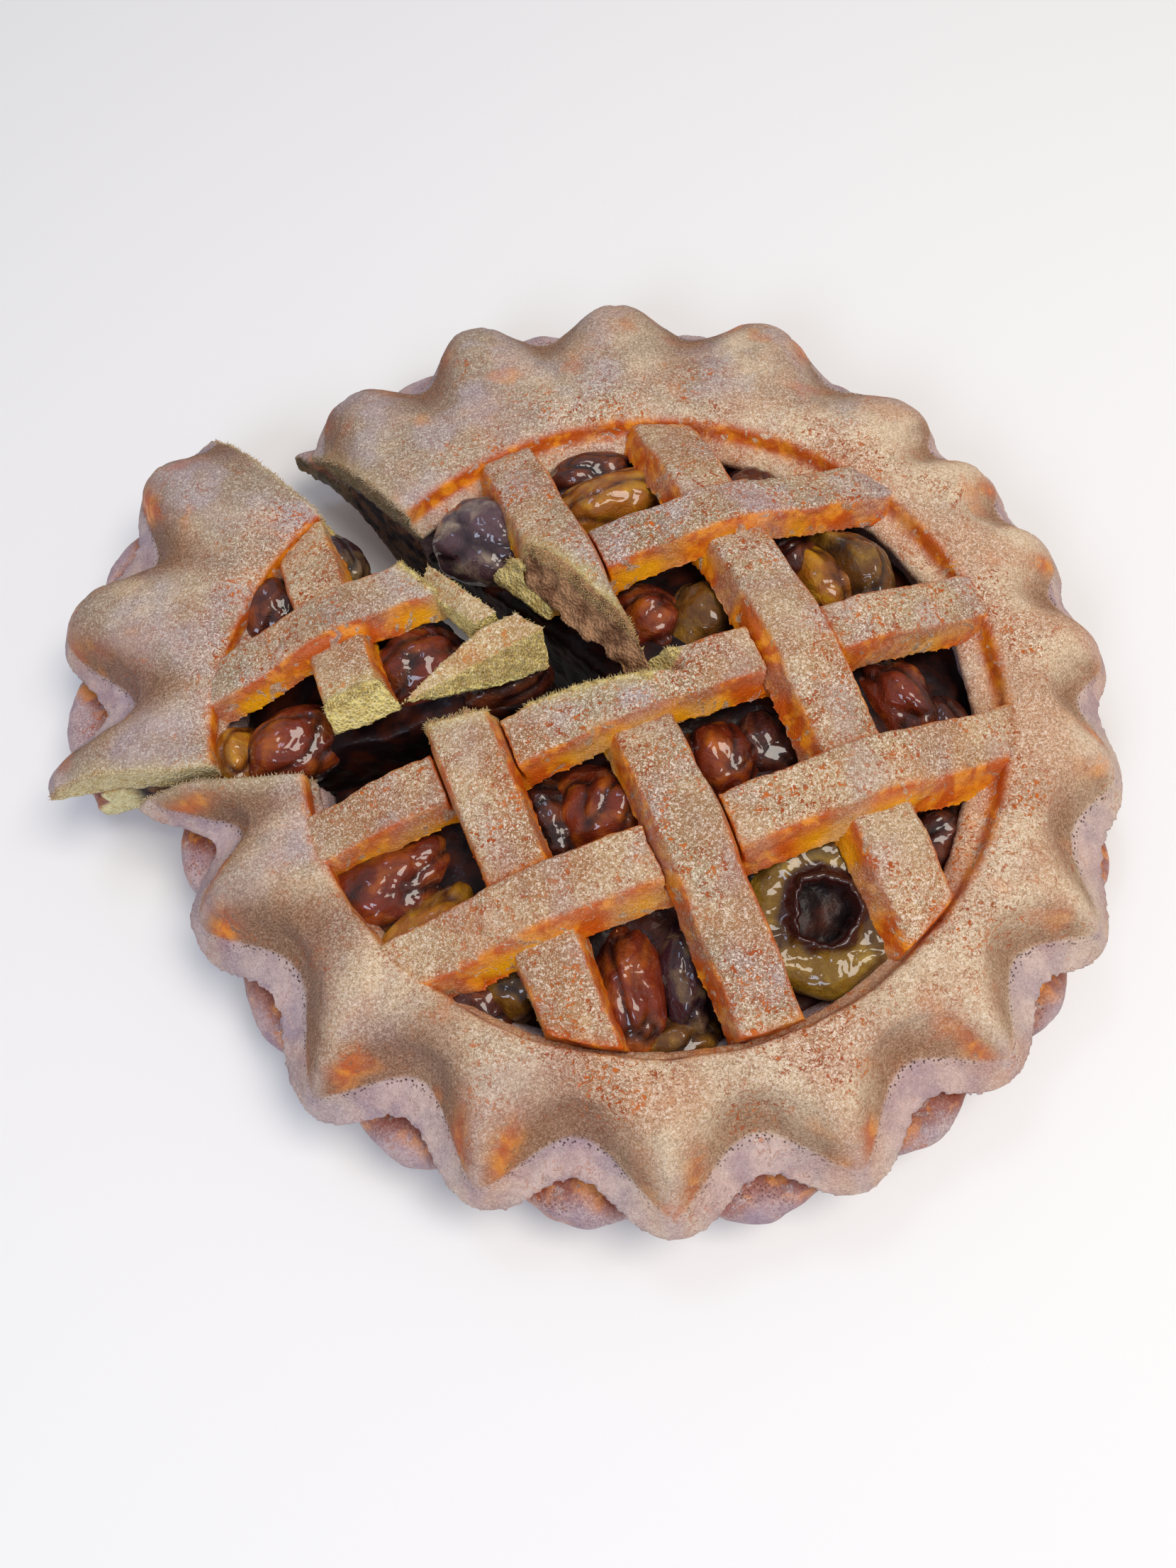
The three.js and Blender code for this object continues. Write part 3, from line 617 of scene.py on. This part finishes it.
for half, knifed, crimps, shift in HALVES:
    name = half + "upper_crust"
    piece = new_piece(name + "_foam", spun(UPPER_SECTION, crimps), smoothed(2), knifed, remeshed(0.95))
    points = points_of(piece)
    wave, reach, rolled = rim_at(points, crimps)
    radius = np.hypot(*points[:, :2].T)
    inside = reach + 0.7 - 3 * (1 - wave) * rolled - radius  # distance in from the rim's upper edge
    opening = np.hypot(*(points[:, :2] - HOLE_CENTRE).T) - HOLE_RADIUS
    to_cut = from_cut(points, UPRIGHT_CUTS)
    to_lower_cut = from_cut(points, UPRIGHT_CUTS[:1]) if half else to_cut
    cut = 1 - ramp(to_cut, *BARED)
    band = ramp(-inside, -0.5, 0.5)
    lumps = 0.7 * grain(points, 17, 11) + 0.30 * grain(points, 6, 12) + 0.10 * grain(points, 2.2, 13)
    lumps -= 0.40 * creases(points, 9, 21, 4.5)  # in the skin of paint
    rough = 0.45 * grain(points, 2.2, 14) + 0.4 * pores(points, 1.3) - 0.3
    points_out = points[:, :2] - HOLE_CENTRE
    points_out /= np.linalg.norm(points_out, axis=1)[:, None]
    narrow = ramp(points_out @ (-0.8, -0.6), -0.5, 0.6) * (1 - ramp(opening, -7.5, 0.5))
    points[:, :2] += points_out * (LEDGE_NARROWING * narrow)[:, None]
    move_to(piece, points)
    push(piece, lumps * (1 - 0.6 * band) * (1 - cut) + cut * rough)
    points, normals = points_of(piece), points_of(piece, "normal")
    fuzzy = (to_cut < 1.1) & (normals[:, 2] > 0.1) & (points[:, 2] > 30)
    spring(piece)
    away = ramp(-points[:, 0], -20, 110)
    hollow = (1 - wave) ** (0.7 - 0.25 * away)
    valley = 0.45 * hollow * bell(inside, 10, 11)
    roll = (0.75 * bell(inside, 2, 5) + 0.35 * bell(inside, 6, 11)) * hollow
    flank = bell(wave, 0.70, 0.20) * bell(inside, 3, 6.5)
    tip = ramp(wave, 0.80, 1.0) * bell(inside, 0, 6)
    front = ramp(-points[:, 1] / radius, 0.3, 0.8)
    ledge = 1 - ramp(opening, -1.6, -0.2)
    groove = bell(opening, -1.3, 1.5) * (0.60 + 0.55 * ramp(grain(points, 15, 16), -0.6, 0.1))
    pinched = flank * ramp(grain(points, 22, 15), -0.25, 0.35)
    glaze = (0.8 + 0.6 * away) * pinched + groove * (1 - 0.55 * front) + ledge * (0.05 + 0.15 * front)
    crowd = (0.25 + 0.35 * ramp(grain(points, 26, 22), -0.3, 0.4)) * bell(np.maximum(opening, 2), 2, 13)
    mark(
        piece, cut=cut * (1 - 0.6 * ramp(normals[:, 2], 0.1, 0.5)) + 0.22 * bell(to_lower_cut, 0, 4),
        # painted shade: the pie's own cut face, under the crust, is stained far darker than the slice's
        stained=(0.12 if half else 0.75) * cut,
        amber=0.25 * ramp(grain(points, 8, 20), 0.1, 0.5),
        # painted shade: greyer on the far and left side, away from the light; an olive-grey tint near the
        # cuts
        greyed=0.05 + 0.42 * away + 0.38 * ramp(points[:, 1], 40, 100) + 0.5 * bell(to_cut, 0, 6),
        glazed=(glaze + 0.30 * ramp(grain(points, 9, 17), 0.35, 0.7)) * (1 - 0.8 * band),
        # painted shade: brown in the hollows, the far side's valleys, beside pinches and on the front
        # ledge
        shaded=((0.95 + 0.6 * away) * roll + 1.3 * away * valley + 0.40 * flank + 0.5 * ledge * front)
        * (1 - band),
        lilac=band * (0.30 + 0.65 * hollow) + 0.6 * tip
        + (0.10 + 0.40 * away) * ramp(grain(points, 20, 18), 0.0, 0.5),
        pitted=bell(inside, -0.7, 1) * (0.2 + 0.8 * hollow)
        + 0.25 * band * ramp(grain(points, 5, 19), 0.1, 0.5),
        specked=0.06 + crowd - 0.35 * band,
    )
    finish = (upper_foam, "upper_crust_foam", name, shift)
    add_fibres(piece, fuzzy, normals, 0.9, 5, 0.2, finish)
    finish_piece(piece, *finish)

# ---------------------------------------------------------------- lattice strips
# Six strips of foam sheet, three each way, cut with flared sides and woven over the fruit. Each is
# bent over the dome, lifted or dipped at every crossing, glued to the crust at its ends and
# painted: pale specked tops, and orange or amber glaze run down the sides and into the corners.
# Painted shade darkens the sides, the dips under other strips and the joints.

LATTICE_EDGE = 43.5
LATTICE_RISE = 19.0
LATTICE_FULLNESS = 2.4
STRIP_THICKNESS = 9.5
STRIP_ROUND = 1.7
NOTCH_GAP = 0.2
WEAVE = 3.0
STRIP_REACH = 100.0
STRIP_STEP = 2.5
LONG = {  # each strip's flares are those of its left or near side and of its right or far side
    "angle": -76, "width": 15.5, "offsets": (-42.7, -2.1, 42.1), "end": 88.3,
    "flares": ((0.6, 2.6), (3.0, 1.4), (5.2, 0.6)),
}
CROSS = {
    "angle": 13, "width": 13.8, "offsets": (28.1, -15.1, -52.6), "end": 94.0,
    "flares": ((4.4, 1.0), (3.2, 1.0), (4.8, 1.0)), "others": LONG,
}
LONG["others"] = CROSS


def lattice_height(x, y):
    """Height of the strips' tops before they are woven: a flat-topped dome over the opening."""
    radius = np.hypot(x - HOLE_CENTRE[0], y - HOLE_CENTRE[1]) / HOLE_RADIUS
    return LATTICE_EDGE + LATTICE_RISE * (1 - np.minimum(radius, 1.2) ** LATTICE_FULLNESS)


def lift(strips, number, other):
    """1 where a strip lies over one of the other family, and -1 where it dips under it."""
    return -1 if (number + other + (strips is LONG)) % 2 else 1


def weave_height(strips, number, along):
    """A strip's lift or dip at each distance along it, from the crossings that it makes."""
    others = strips["others"]
    turn = math.radians(others["angle"] - strips["angle"])
    pitch = abs(others["offsets"][0] - others["offsets"][2]) / 2
    rise = np.zeros_like(along)
    for i, offset in enumerate(others["offsets"]):
        crossing = (offset - strips["offsets"][number] * math.cos(turn)) / -math.sin(turn)
        near = np.minimum(np.abs(along - crossing) / (pitch / 2), 1)
        rise += lift(strips, number, i) * WEAVE * np.cos(np.pi / 2 * near) ** 2
    return rise


def strip_mesh(strips, number, grow=0.0):
    """One strip with rounded upper edges and flared sides, bent over the dome and woven."""
    direction = np.array(towards(strips["angle"]))
    side = np.array((-direction[1], direction[0]))
    thickness = STRIP_THICKNESS + 2 * grow
    width = strips["width"] + 2 * grow
    bm = bmesh.new()
    bmesh.ops.create_cube(bm, size=1.0, matrix=Matrix.Diagonal((width, 2 * STRIP_REACH, thickness, 1)))
    ends = ([v.co for v in edge.verts] for edge in bm.edges)
    along_top = [a.z > 0 and b.z > 0 and abs(a.x - b.x) < 1 for a, b in ends]
    bmesh.ops.bevel(
        bm, geom=[edge for edge, chosen in zip(bm.edges, along_top) if chosen], offset=STRIP_ROUND,
        segments=3, profile=0.5, affect="EDGES", material=-1,
    )
    steps = np.arange(-STRIP_REACH + STRIP_STEP, STRIP_REACH, STRIP_STEP)
    for place, normal in [((0, y, 0), (0, 1, 0)) for y in steps] + [((0, 0, 0), (1, 0, 0))]:
        everything = bm.verts[:] + bm.edges[:] + bm.faces[:]
        bmesh.ops.bisect_plane(bm, geom=everything, plane_co=place, plane_no=normal)
    for vert in bm.verts:
        across, along = vert.co.xy
        below = thickness / 2 - vert.co.z
        if across:
            across += math.copysign(strips["flares"][number][across > 0], across) * below / thickness
        across *= 1 + 0.05 * noise.noise(Vector((along / 14, number * 9.1, strips["angle"])))
        x, y = direction * along + side * (strips["offsets"][number] + across)
        # cross strips climb onto the crust and droop beyond its edge
        radius = math.hypot(x - HOLE_CENTRE[0], y - HOLE_CENTRE[1])
        lap = (1.7 * ramp(radius, 78, 90) - 0.10 * max(radius - 90, 0) ** 2) * (strips is CROSS)
        height = lattice_height(x, y) + weave_height(strips, number, np.array(along)) + lap + grow
        vert.co = (x, y, height - below)
    bmesh.ops.recalc_face_normals(bm, faces=bm.faces)
    return bm


for strips in (LONG, CROSS):
    bm = bmesh.new()
    bmesh.ops.create_cone(
        bm, cap_ends=True, segments=96, radius1=strips["end"] - 1.5, radius2=strips["end"] + 1.5,
        depth=60, matrix=Matrix.Translation((*HOLE_CENTRE, 60)),
    )
    strips["trim"] = within(new_piece("cutter", bm))
    strips["notches"] = [minus(new_piece("cutter", strip_mesh(strips, i, NOTCH_GAP))) for i in range(3)]

strip_foam = painted_foam(
    "latex_on_foam_strips", "#AA8058", "#C2A47C", "#8E7E64", "#C8560A", "#F0A40C", "#F2DE86", "#B48660")


def strip_piece(strips, number, name, knife_work, cuts, greyed, stained=0.1, shift=(0, 0, 0)):
    """One finished strip: notched where it dips under the others, trimmed, roughened and painted."""
    others = strips["others"]
    notches = [others["notches"][j] for j in range(3) if lift(strips, number, j) < 0]
    work = (*notches, strips["trim"], *knife_work, remeshed(0.75))
    piece = new_piece(name + "_foam", strip_mesh(strips, number), *work)
    points, normals = points_of(piece), points_of(piece, "normal")
    woven = weave_height(strips, number, points[:, :2] @ towards(strips["angle"]))
    below = lattice_height(*points[:, :2].T) + woven - points[:, 2]
    to_cut = from_cut(points, cuts)
    cut = 1 - ramp(to_cut, *BARED)
    seed = 30 + number + 10 * (strips is LONG)

    # its joints are glued tight: gap is the distance from a strip that crosses over it, and no
    # roughness opens the notch there or where it holds down another strip
    crossways = points[:, :2] @ towards(others["angle"] + 90)
    gap = np.full(len(points), np.inf)
    glued = np.zeros(len(points))
    for j, (offset, flares) in enumerate(zip(others["offsets"], others["flares"])):
        off = crossways - offset
        if lift(strips, number, j) < 0:
            flare = np.where(off > 0, flares[1], flares[0])
            edge = others["width"] / 2 + 0.6 * below * flare / STRIP_THICKNESS
            gap = np.minimum(gap, np.abs(np.abs(off) - edge))
        else:
            beside = 1 - ramp(np.abs(off), others["width"] / 2, others["width"] / 2 + 2)
            glued = np.maximum(glued, beside * ramp(below, 2.0, 4.0))
    glued = np.maximum(glued, bell(gap, 0, 1.5))
    lumps = 0.35 * grain(points, 10, seed) + 0.20 * grain(points, 4, seed)
    lumps += 0.10 * grain(points, 1.8, seed) - 0.25 * creases(points, 6, seed + 9, 4.5)
    rough = 0.5 * grain(points, 2.6, seed) + 0.5 * pores(points, 1.2) - 0.4
    if stained == 1:  # torn rather than cut
        rough += 0.8 * grain(points, 3.2, seed + 3) + 0.8 * grain(points, 7, seed + 4)
    push(piece, (lumps * (1 - glued) - 0.45 + 0.33 * glued) * (1 - cut) + cut * rough)

    # glaze pools low on the sides, under the strips that cross above, and at the ends
    radius = np.hypot(*(points[:, :2] - HOLE_CENTRE).T)
    side = 1 - ramp(normals[:, 2], 0.52, 0.80)
    low = ramp(below, 1.5, 6.0)
    runs = ramp(grain(points, 12, seed + 2), -0.45, 0.15)
    arris = bell(normals[:, 2], 0.72, 0.16)
    joint = bell(gap, 0, 1.3) * (0.5 + 0.5 * runs)
    mark(
        piece, cut=cut + 0.35 * bell(to_cut, 0, 3.5), stained=stained * cut,
        amber=ramp(grain(points, 16, seed + 7) + 0.2 * (strips is CROSS), 0.10, 0.55) * low,
        greyed=greyed + 0.3 * bell(to_cut, 0, 6),
        glazed=side * (0.80 + 0.20 * low) * (0.50 + 0.50 * runs) + 0.9 * joint + 0.45 * arris * runs
        + 0.6 * ramp(-woven / WEAVE, 0.5, 1.0) * side + 0.35 * ramp(radius, 84, 88) * (strips is LONG),
        # painted shade: darker where a strip dips under another, on its sides, and along each strip over
        # it
        shaded=0.25 * ramp(-woven / WEAVE, 0.3, 1.0) + 0.25 * side * (1 - runs)
        + 0.5 * bell(gap, 0, 0.8),
        lilac=0.30 * ramp(grain(points, 12, seed + 4), 0.15, 0.6) * (1 - side),
        pitted=0.12 * ramp(grain(points, 5, seed + 5), 0.2, 0.6),
        specked=(0.40 + 0.35 * ramp(grain(points, 18, seed + 6), -0.3, 0.5)) * (1 - 0.6 * side),
    )
    finish = (strip_foam, "strip_foam", name, shift)
    add_fibres(piece, (to_cut < 1.2) & (below < 2.2), normals, 1.0, seed, 0.5, finish)
    finish_piece(piece, *finish)


pie_work = [minus(slice_knife), minus(knife(LOWER_CUT, UPPER_CUT, 0, KNIFE_LEAN))]
pie_cuts = UPRIGHT_CUTS + [(UPPER_CUT, -1, KNIFE_LEAN)]
slice_work = [within(slice_knife), within(knife(LOWER_CUT, UPPER_CUT, -KNIFE_LEAN, 0))]
slice_cuts = UPRIGHT_CUTS + [(LOWER_CUT, 1, -KNIFE_LEAN)]
cut_off = [minus(knife(LOWER_CUT, 90))]  # the first long strip ends at the slice
for i, (long_grey, cross_grey) in enumerate(((0.10, 0.45), (0.30, 0.30), (0.20, 0.15))):
    long_work = pie_work if i else cut_off + pie_work
    strip_piece(LONG, i, f"long_strip_{i + 1}", long_work, pie_cuts, long_grey, 1.0)
    strip_piece(CROSS, i, f"cross_strip_{i + 1}", pie_work, pie_cuts, cross_grey, 0.3)
strip_piece(LONG, 0, "slice_long_strip", slice_work, slice_cuts, -0.1, shift=SLICE_SHIFT)
strip_piece(CROSS, 0, "slice_cross_strip", slice_work, slice_cuts, 0.4, shift=SLICE_SHIFT)

# ---------------------------------------------------------------- splinters on the slice
# The knife tore the two middle strips: a thin painted sliver of one and a thick fuzzy wedge of the
# other stayed on the slice, bare yellow-green foam on every torn face.

LONG_SLIVER = [
    (-20.5, 27.5, 56.5), (-13, 16, 60.5), (-4, 6.6, 62), (-10, 4.6, 61),
    (-25, 24, 53), (-4, 6.4, 53), (-12, 5, 52),
]
CROSS_SLIVER = [
    (-31, -11.6, 56), (-19, -4.4, 60), (-8.6, 3.2, 61.5), (0.5, 5.6, 62), (7, 0.6, 61.5),
    (-23.5, -9.8, 52), (-13, -8, 51), (-2.5, -8, 51), (7, -6, 52), (0, 4, 52),
]
for node, corners in (("slice_long_sliver", LONG_SLIVER), ("slice_cross_sliver", CROSS_SLIVER)):
    bm = bmesh.new()
    for corner in corners:
        bm.verts.new(corner)
    hull = bmesh.ops.convex_hull(bm, input=bm.verts)
    bmesh.ops.delete(bm, geom=list(set(hull["geom_interior"])), context="VERTS")
    bmesh.ops.recalc_face_normals(bm, faces=bm.faces)
    piece = new_piece(node + "_foam", bm, remeshed(0.6))
    points = points_of(piece)
    torn = 1 - ramp(points_of(piece, "normal")[:, 2], 0.45, 0.75)
    rough = 0.5 * grain(points, 3.0, 51) + 0.35 * grain(points, 1.1, 52) + 0.45 * pores(points, 1.2) - 0.4
    push(piece, torn * rough + (1 - torn) * (0.3 * grain(points, 5, 53) + 0.12 * grain(points, 1.5, 54)))
    mark(
        piece, cut=0.18 + 0.82 * torn, greyed=0, stained=0, amber=0, shaded=0, lilac=0, pitted=0,
        specked=0.5, glazed=0.2 * ramp(grain(points, 6, 55), 0.1, 0.5),
    )
    finish = (strip_foam, "strip_foam", node, SLICE_SHIFT)
    add_fibres(piece, (torn > 0.2) & (torn < 0.9), points_of(piece, "normal"), 0.8, 9, 0.5, finish)
    finish_piece(piece, *finish)

# ---------------------------------------------------------------- syrup bed
# Dark set syrup fills the crust below the fruit: clear varnish over brown-black paint, cut through
# with the crust, and sunk in uneven pools between the pieces of fruit. Its near-black colour is partly
# the syrup's own and partly painted shade in the gaps between the pieces.

syrup_and_gap_shade = bpy.data.materials.new("varnished_syrup_and_gap_shade")
syrup_and_gap_shade.use_nodes = True
tree = syrup_and_gap_shade.node_tree
place = add(tree, "ShaderNodeTexCoord", output="Object")
cloud, ripple = (
    add(tree, "ShaderNodeTexNoise", {"Vector": place, "Scale": 1 / (size * MM), "Detail": detail})
    for size, detail in ((7, 4.0), (2.6, 3.0))
)
thin = add(tree, "ShaderNodeMapRange", {"Value": cloud, "From Min": 0.45, "From Max": 0.68})
colours = {0: thin, 6: linear("#1A0B0C"), 7: linear("#451A0A")}
colour = add(tree, "ShaderNodeMix", colours, output=2, data_type="RGBA")
bump = add(tree, "ShaderNodeBump", {"Height": ripple, "Strength": 0.5, "Distance": 0.8 * MM})
connect(tree, tree.nodes["Principled BSDF"], {
    "Base Color": colour, "Normal": bump, "Coat Normal": bump, "Roughness": 0.55,
    "Specular IOR Level": 0.15, "Coat Weight": 0.12, "Coat Roughness": 0.2,
})

BED_FLOOR = 10.4
BED_TOP = 33.4  # at the crust, from where it rises to follow the lattice
BED_HIGHEST = 45.0
BED_BELOW = STRIP_THICKNESS + WEAVE + 4.5
BED_SECTION = [  # columns as in BOTTOM_SECTION
    (0, BED_FLOOR, BED_FLOOR, 0, 0, 0, 0, 0),
    (79.4, BED_FLOOR, BED_FLOOR, 0.5, 0, 0, 0, 0.5),
    (84.4, BED_TOP, BED_TOP, 1, 0, 0, 0, 0.5),
    (60, BED_TOP, BED_TOP, 0.6, 0, 0, 0, 0),
    (30, BED_TOP, BED_TOP, 0.3, 0, 0, 0, 0),
    (0, BED_TOP, BED_TOP, 0, 0, 0, 0, 0),
]
for half, knifed, crimps, shift in HALVES:
    name = half + "fruit_filling"
    piece = new_piece(name + "_syrup", spun(BED_SECTION, crimps), knifed, remeshed(1.3))
    points = points_of(piece)
    upper = ramp(points[:, 2], 22, BED_TOP)
    dome = np.minimum(lattice_height(*points[:, :2].T) - BED_BELOW, BED_HIGHEST) - BED_TOP
    cut = 1 - ramp(from_cut(points, UPRIGHT_CUTS), *BARED)
    points[:, 2] += upper * (dome + 2.6 * grain(points, 11, 61) + 1.0 * grain(points, 5, 62))
    move_to(piece, points)
    push(piece, cut * (0.7 * grain(points, 4, 63) - 0.5))
    finish_piece(piece, syrup_and_gap_shade, "glazed_fruit", name, shift)

# ---------------------------------------------------------------- fruit
# Stewed pieces of fruit under thick clear varnish: wrinkled red-brown ones that look like prunes,
# and smooth olive to amber slices. Each is a swollen lump, creased along its length.

FRUIT_COLOURS = {  # flesh, darker folds (painted shade in the creases, and the cored round's dark skin), lighter skin
    "stewed_red_brown": ("#7A2A0E", "#260A06", "#B25C14"),
    "stewed_chocolate": ("#4C1E14", "#1A0A0A", "#84401C"),
    "stewed_purple": ("#3A1A20", "#180C12", "#8C7048"),
    "stewed_amber": ("#A86414", "#4A200C", "#D0981E"),
    "stewed_olive": ("#6E4412", "#28160C", "#A07420"),
    "stewed_plum": ("#5E444A", "#2C1A22", "#B09C84"),
    "cored_olive": ("#7E5C14", "#34100A", "#A8862A"),
}
fruit_materials = {}
for name, (flesh, folds, skin) in FRUIT_COLOURS.items():
    material = bpy.data.materials.new(name)
    material.use_nodes = True
    tree = material.node_tree
    place = add(tree, "ShaderNodeTexCoord", output="Object")
    blotch, wrinkle, film = (
        add(tree, "ShaderNodeTexNoise", {
            "Vector": place, "Scale": 1 / (size * MM), "Detail": detail, "Distortion": distortion})
        for size, detail, distortion in ((8, 4.0, 0.8), (2.4, 5.0, 1.6), (5, 1.0, 0.6))
    )
    light = add(tree, "ShaderNodeMapRange", {"Value": blotch, "From Min": 0.48, "From Max": 0.70})
    folded = add(tree, "ShaderNodeAttribute", output="Fac", attribute_name="folded")
    colour = linear(flesh)
    for where, paint in ((light, skin), (folded, folds)):
        colours = {0: where, 6: colour, 7: linear(paint)}
        colour = add(tree, "ShaderNodeMix", colours, output=2, data_type="RGBA")
    crest = add(tree, "ShaderNodeMath", {0: wrinkle, 1: 0.5}, operation="SUBTRACT")
    crest = add(tree, "ShaderNodeMath", {0: crest}, operation="ABSOLUTE")
    bump, film_bump = (
        add(tree, "ShaderNodeBump", {"Height": relief, "Strength": 0.6, "Distance": 1.6 * MM})
        for relief in (crest, film)
    )
    connect(tree, tree.nodes["Principled BSDF"], {
        "Base Color": colour, "Normal": bump, "Coat Normal": film_bump, "Roughness": 0.45,
        "Specular IOR Level": 0.20, "Coat Weight": 1.0, "Coat Roughness": 0.07,
    })
    fruit_materials[name] = material


# x, y, top, half length, half width, half height, turn, bend, colour, wrinkle
PIE_FRUIT = [
    (8, 55, 46.5, 20, 10, 11, 12, 0, "amber", 0.45),
    (2, 66, 43, 16, 9, 10, 10, 0, "chocolate", 0.6),
    (26, 12, 50.5, 13, 12, 11, 75, 0, "olive", 0.3),
    (11, 14, 50, 10, 13, 11, 20, 0, "red_brown", 0.7),
    (21, -29, 51.5, 12, 12, 12, 90, 0, "red_brown", 0.6),
    (35, -26, 48, 12, 12, 11, 80, 0, "chocolate", 0.4),
    (68, 22, 45.5, 18, 8, 11, 110, 0.022, "olive", 0.4),
    (59, 22, 43, 13, 9, 11, 110, 0, "amber", 0.4),
    (52, 30, 43, 9, 8, 9, 40, 0, "chocolate", 0.5),
    (70, -17, 44.5, 18, 10, 12, 115, 0, "red_brown", 0.8),
    (80, -26, 40, 12, 9, 9, 100, 0, "chocolate", 0.6),
    (-8, -37, 52, 14, 15, 13, 60, 0, "red_brown", 0.5),
    (-22, -36, 49.5, 9, 16, 12, 10, 0, "chocolate", 0.6),
    (-63, -44, 43.5, 21, 13, 13, 25, 0, "red_brown", 0.55),
    (-56, -57, 41.5, 20, 9, 12, 38, 0.008, "amber", 0.4),
    (-47, -62, 40, 13, 10, 11, 30, 0, "red_brown", 0.5),
    (-77, -38, 37, 13, 12, 11, 30, 0, "chocolate", 0.6),
    (-47, -78, 38, 13, 10, 11, 10, 0, "chocolate", 0.5),
    (-36, -72, 39, 11, 10, 10, 60, 0, "olive", 0.35),
    (-9, -78, 43, 18, 11, 13, 98, 0, "red_brown", 0.75),
    (4, -78, 41, 17, 7, 11, 88, 0, "purple", 0.6),
    (0, -92, 37, 12, 8, 9, 10, 0, "olive", 0.5),
    (73, -52, 36.5, 14, 12, 11, 40, 0, "chocolate", 0.6),
    (-29, 48, 50, 15, 13, 12, 150, 0, "plum", 0.6),
    (44, 52, 42, 12, 11, 10, 30, 0, "chocolate", 0.6),
]
SLICE_FRUIT = [
    (-65, 34, 43, 12, 11, 10, 70, 0, "chocolate", 0.6),
    (-27, 5, 51.5, 15, 12, 12, 20, 0, "red_brown", 0.4),
    (-6, -3, 52.5, 13, 8, 10, 15, 0, "chocolate", 0.6),
    (-63, -8, 44.5, 15, 11, 12, 20, 0, "red_brown", 0.45),
    (-50, 45, 44, 12, 10, 9, 130, 0, "purple", 0.6),
    (-78, -9, 41, 11, 8, 10, 80, 0, "amber", 0.45),
]


def crease_fruit(piece, wrinkle, seed, along):
    """Long folds that wander along a piece of fruit, and finer wrinkles between them, darkened with
    painted shade.
    """
    points = points_of(piece)
    direction = np.array((*towards(along), 0))
    stretched = points - 0.6 * np.outer(points @ direction, direction)
    folds = creases(stretched, 8.5, seed, 3.2)
    fine = creases(stretched, 3.2, seed + 1, 2.4)
    push(piece, wrinkle * (0.9 * grain(points, 7, seed + 2) - 1.5 * folds - 0.45 * fine))
    mark(piece, folded=0.90 * folds + 0.35 * fine)


for i, row in enumerate(PIE_FRUIT + SLICE_FRUIT):
    x, y, top, length, width, height, turn, bend, kind, wrinkle = row
    bm = bmesh.new()
    bmesh.ops.create_icosphere(bm, subdivisions=5, radius=1.0)
    for vert in bm.verts:
        swell = 0.14 * noise.noise(vert.co * 1.1 + Vector((i * 3.7, 0, 0)))
        vert.co *= 1 + swell + 0.05 * noise.noise(vert.co * 2.7)
    bmesh.ops.scale(bm, vec=(length, width, height), verts=bm.verts)
    for vert in bm.verts:
        vert.co.y += bend * (vert.co.x ** 2 - length ** 2 / 3)
    turned = Matrix.Rotation(math.radians(turn), 3, "Z")
    bmesh.ops.rotate(bm, cent=(0, 0, 0), matrix=turned, verts=bm.verts)
    bmesh.ops.translate(bm, vec=(x, y, top - height), verts=bm.verts)
    piece = new_piece(f"fruit_{i + 1}", bm)
    crease_fruit(piece, wrinkle, 70 + i, turn)
    half, _, _, shift = HALVES[i >= len(PIE_FRUIT)]
    material = fruit_materials["stewed_" + kind]
    finish_piece(piece, material, "glazed_fruit", half + "fruit_filling", shift)

# A cored round of fruit: olive flesh round a dark hole, with a wrinkled skin standing up round it.
RING_PLACE = (39.0, -69.0, 36.0)
RING_TILT = 12.0
RING_SECTION = [  # r, z from the round's middle
    (6.8, -7.0), (6.2, 0.0), (6.6, 4.8), (7.3, 7.4), (8.4, 7.8), (9.6, 6.2), (11.4, 5.4),
    (15.2, 6.4), (18.8, 4.8), (20.6, 1.0), (19.5, -4.0), (15.0, -6.5),
]
bm = bmesh.new()
section = [bm.verts.new((r, 0, z)) for r, z in RING_SECTION]
sides = [bm.edges.new(pair) for pair in zip(section, section[1:] + section[:1])]
bmesh.ops.spin(
    bm, geom=section + sides, cent=(0, 0, 0), axis=(0, 0, 1), dvec=(0, 0, 0),
    angle=math.tau, steps=64, space=Matrix.Identity(4), use_merge=True,
)
bmesh.ops.recalc_face_normals(bm, faces=bm.faces)
for vert in bm.verts:
    turn = math.atan2(vert.co.y, vert.co.x)
    radius = math.hypot(vert.co.x, vert.co.y)
    wobble = 2.2 * noise.noise(Vector((math.cos(turn) * 1.6, math.sin(turn) * 1.6, 5.0)))
    frill = 1.1 * noise.noise(Vector((math.cos(turn) * 4, math.sin(turn) * 4, 9.0))) * (6 < radius < 10)
    vert.co.x *= (radius + wobble + frill) / radius
    vert.co.y *= (radius + wobble + frill) / radius
    vert.co.z += 0.8 * wobble + 0.4 * frill
tilted = Matrix.Rotation(math.radians(RING_TILT), 3, "X")
bmesh.ops.rotate(bm, cent=(0, 0, 0), matrix=tilted, verts=bm.verts)
bmesh.ops.translate(bm, vec=RING_PLACE, verts=bm.verts)
piece = new_piece("fruit_cored_round", bm, smoothed(2))
crease_fruit(piece, 0.35, 95, 0)
points = points_of(piece)
from_hole = np.hypot(*(points[:, :2] - RING_PLACE[:2]).T)
collar = 1 - ramp(from_hole + 1.6 * grain(points, 5, 97), 9.5, 11.5)
bruised = 0.75 * ramp(grain(points, 8, 98), 0.05, 0.4)
# on the cored round the same mask holds its own dark skin round the hole and its bruises
folded = piece.data.attributes["folded"].data
folded.foreach_set("value", np.maximum(collar, bruised).astype(np.float32))
finish_piece(piece, fruit_materials["cored_olive"], "glazed_fruit", "fruit_filling")

# ---------------------------------------------------------------- last
# The cutters go.
for piece in list(bpy.data.objects):
    if piece.name.startswith("cutter"):
        bpy.data.objects.remove(piece)
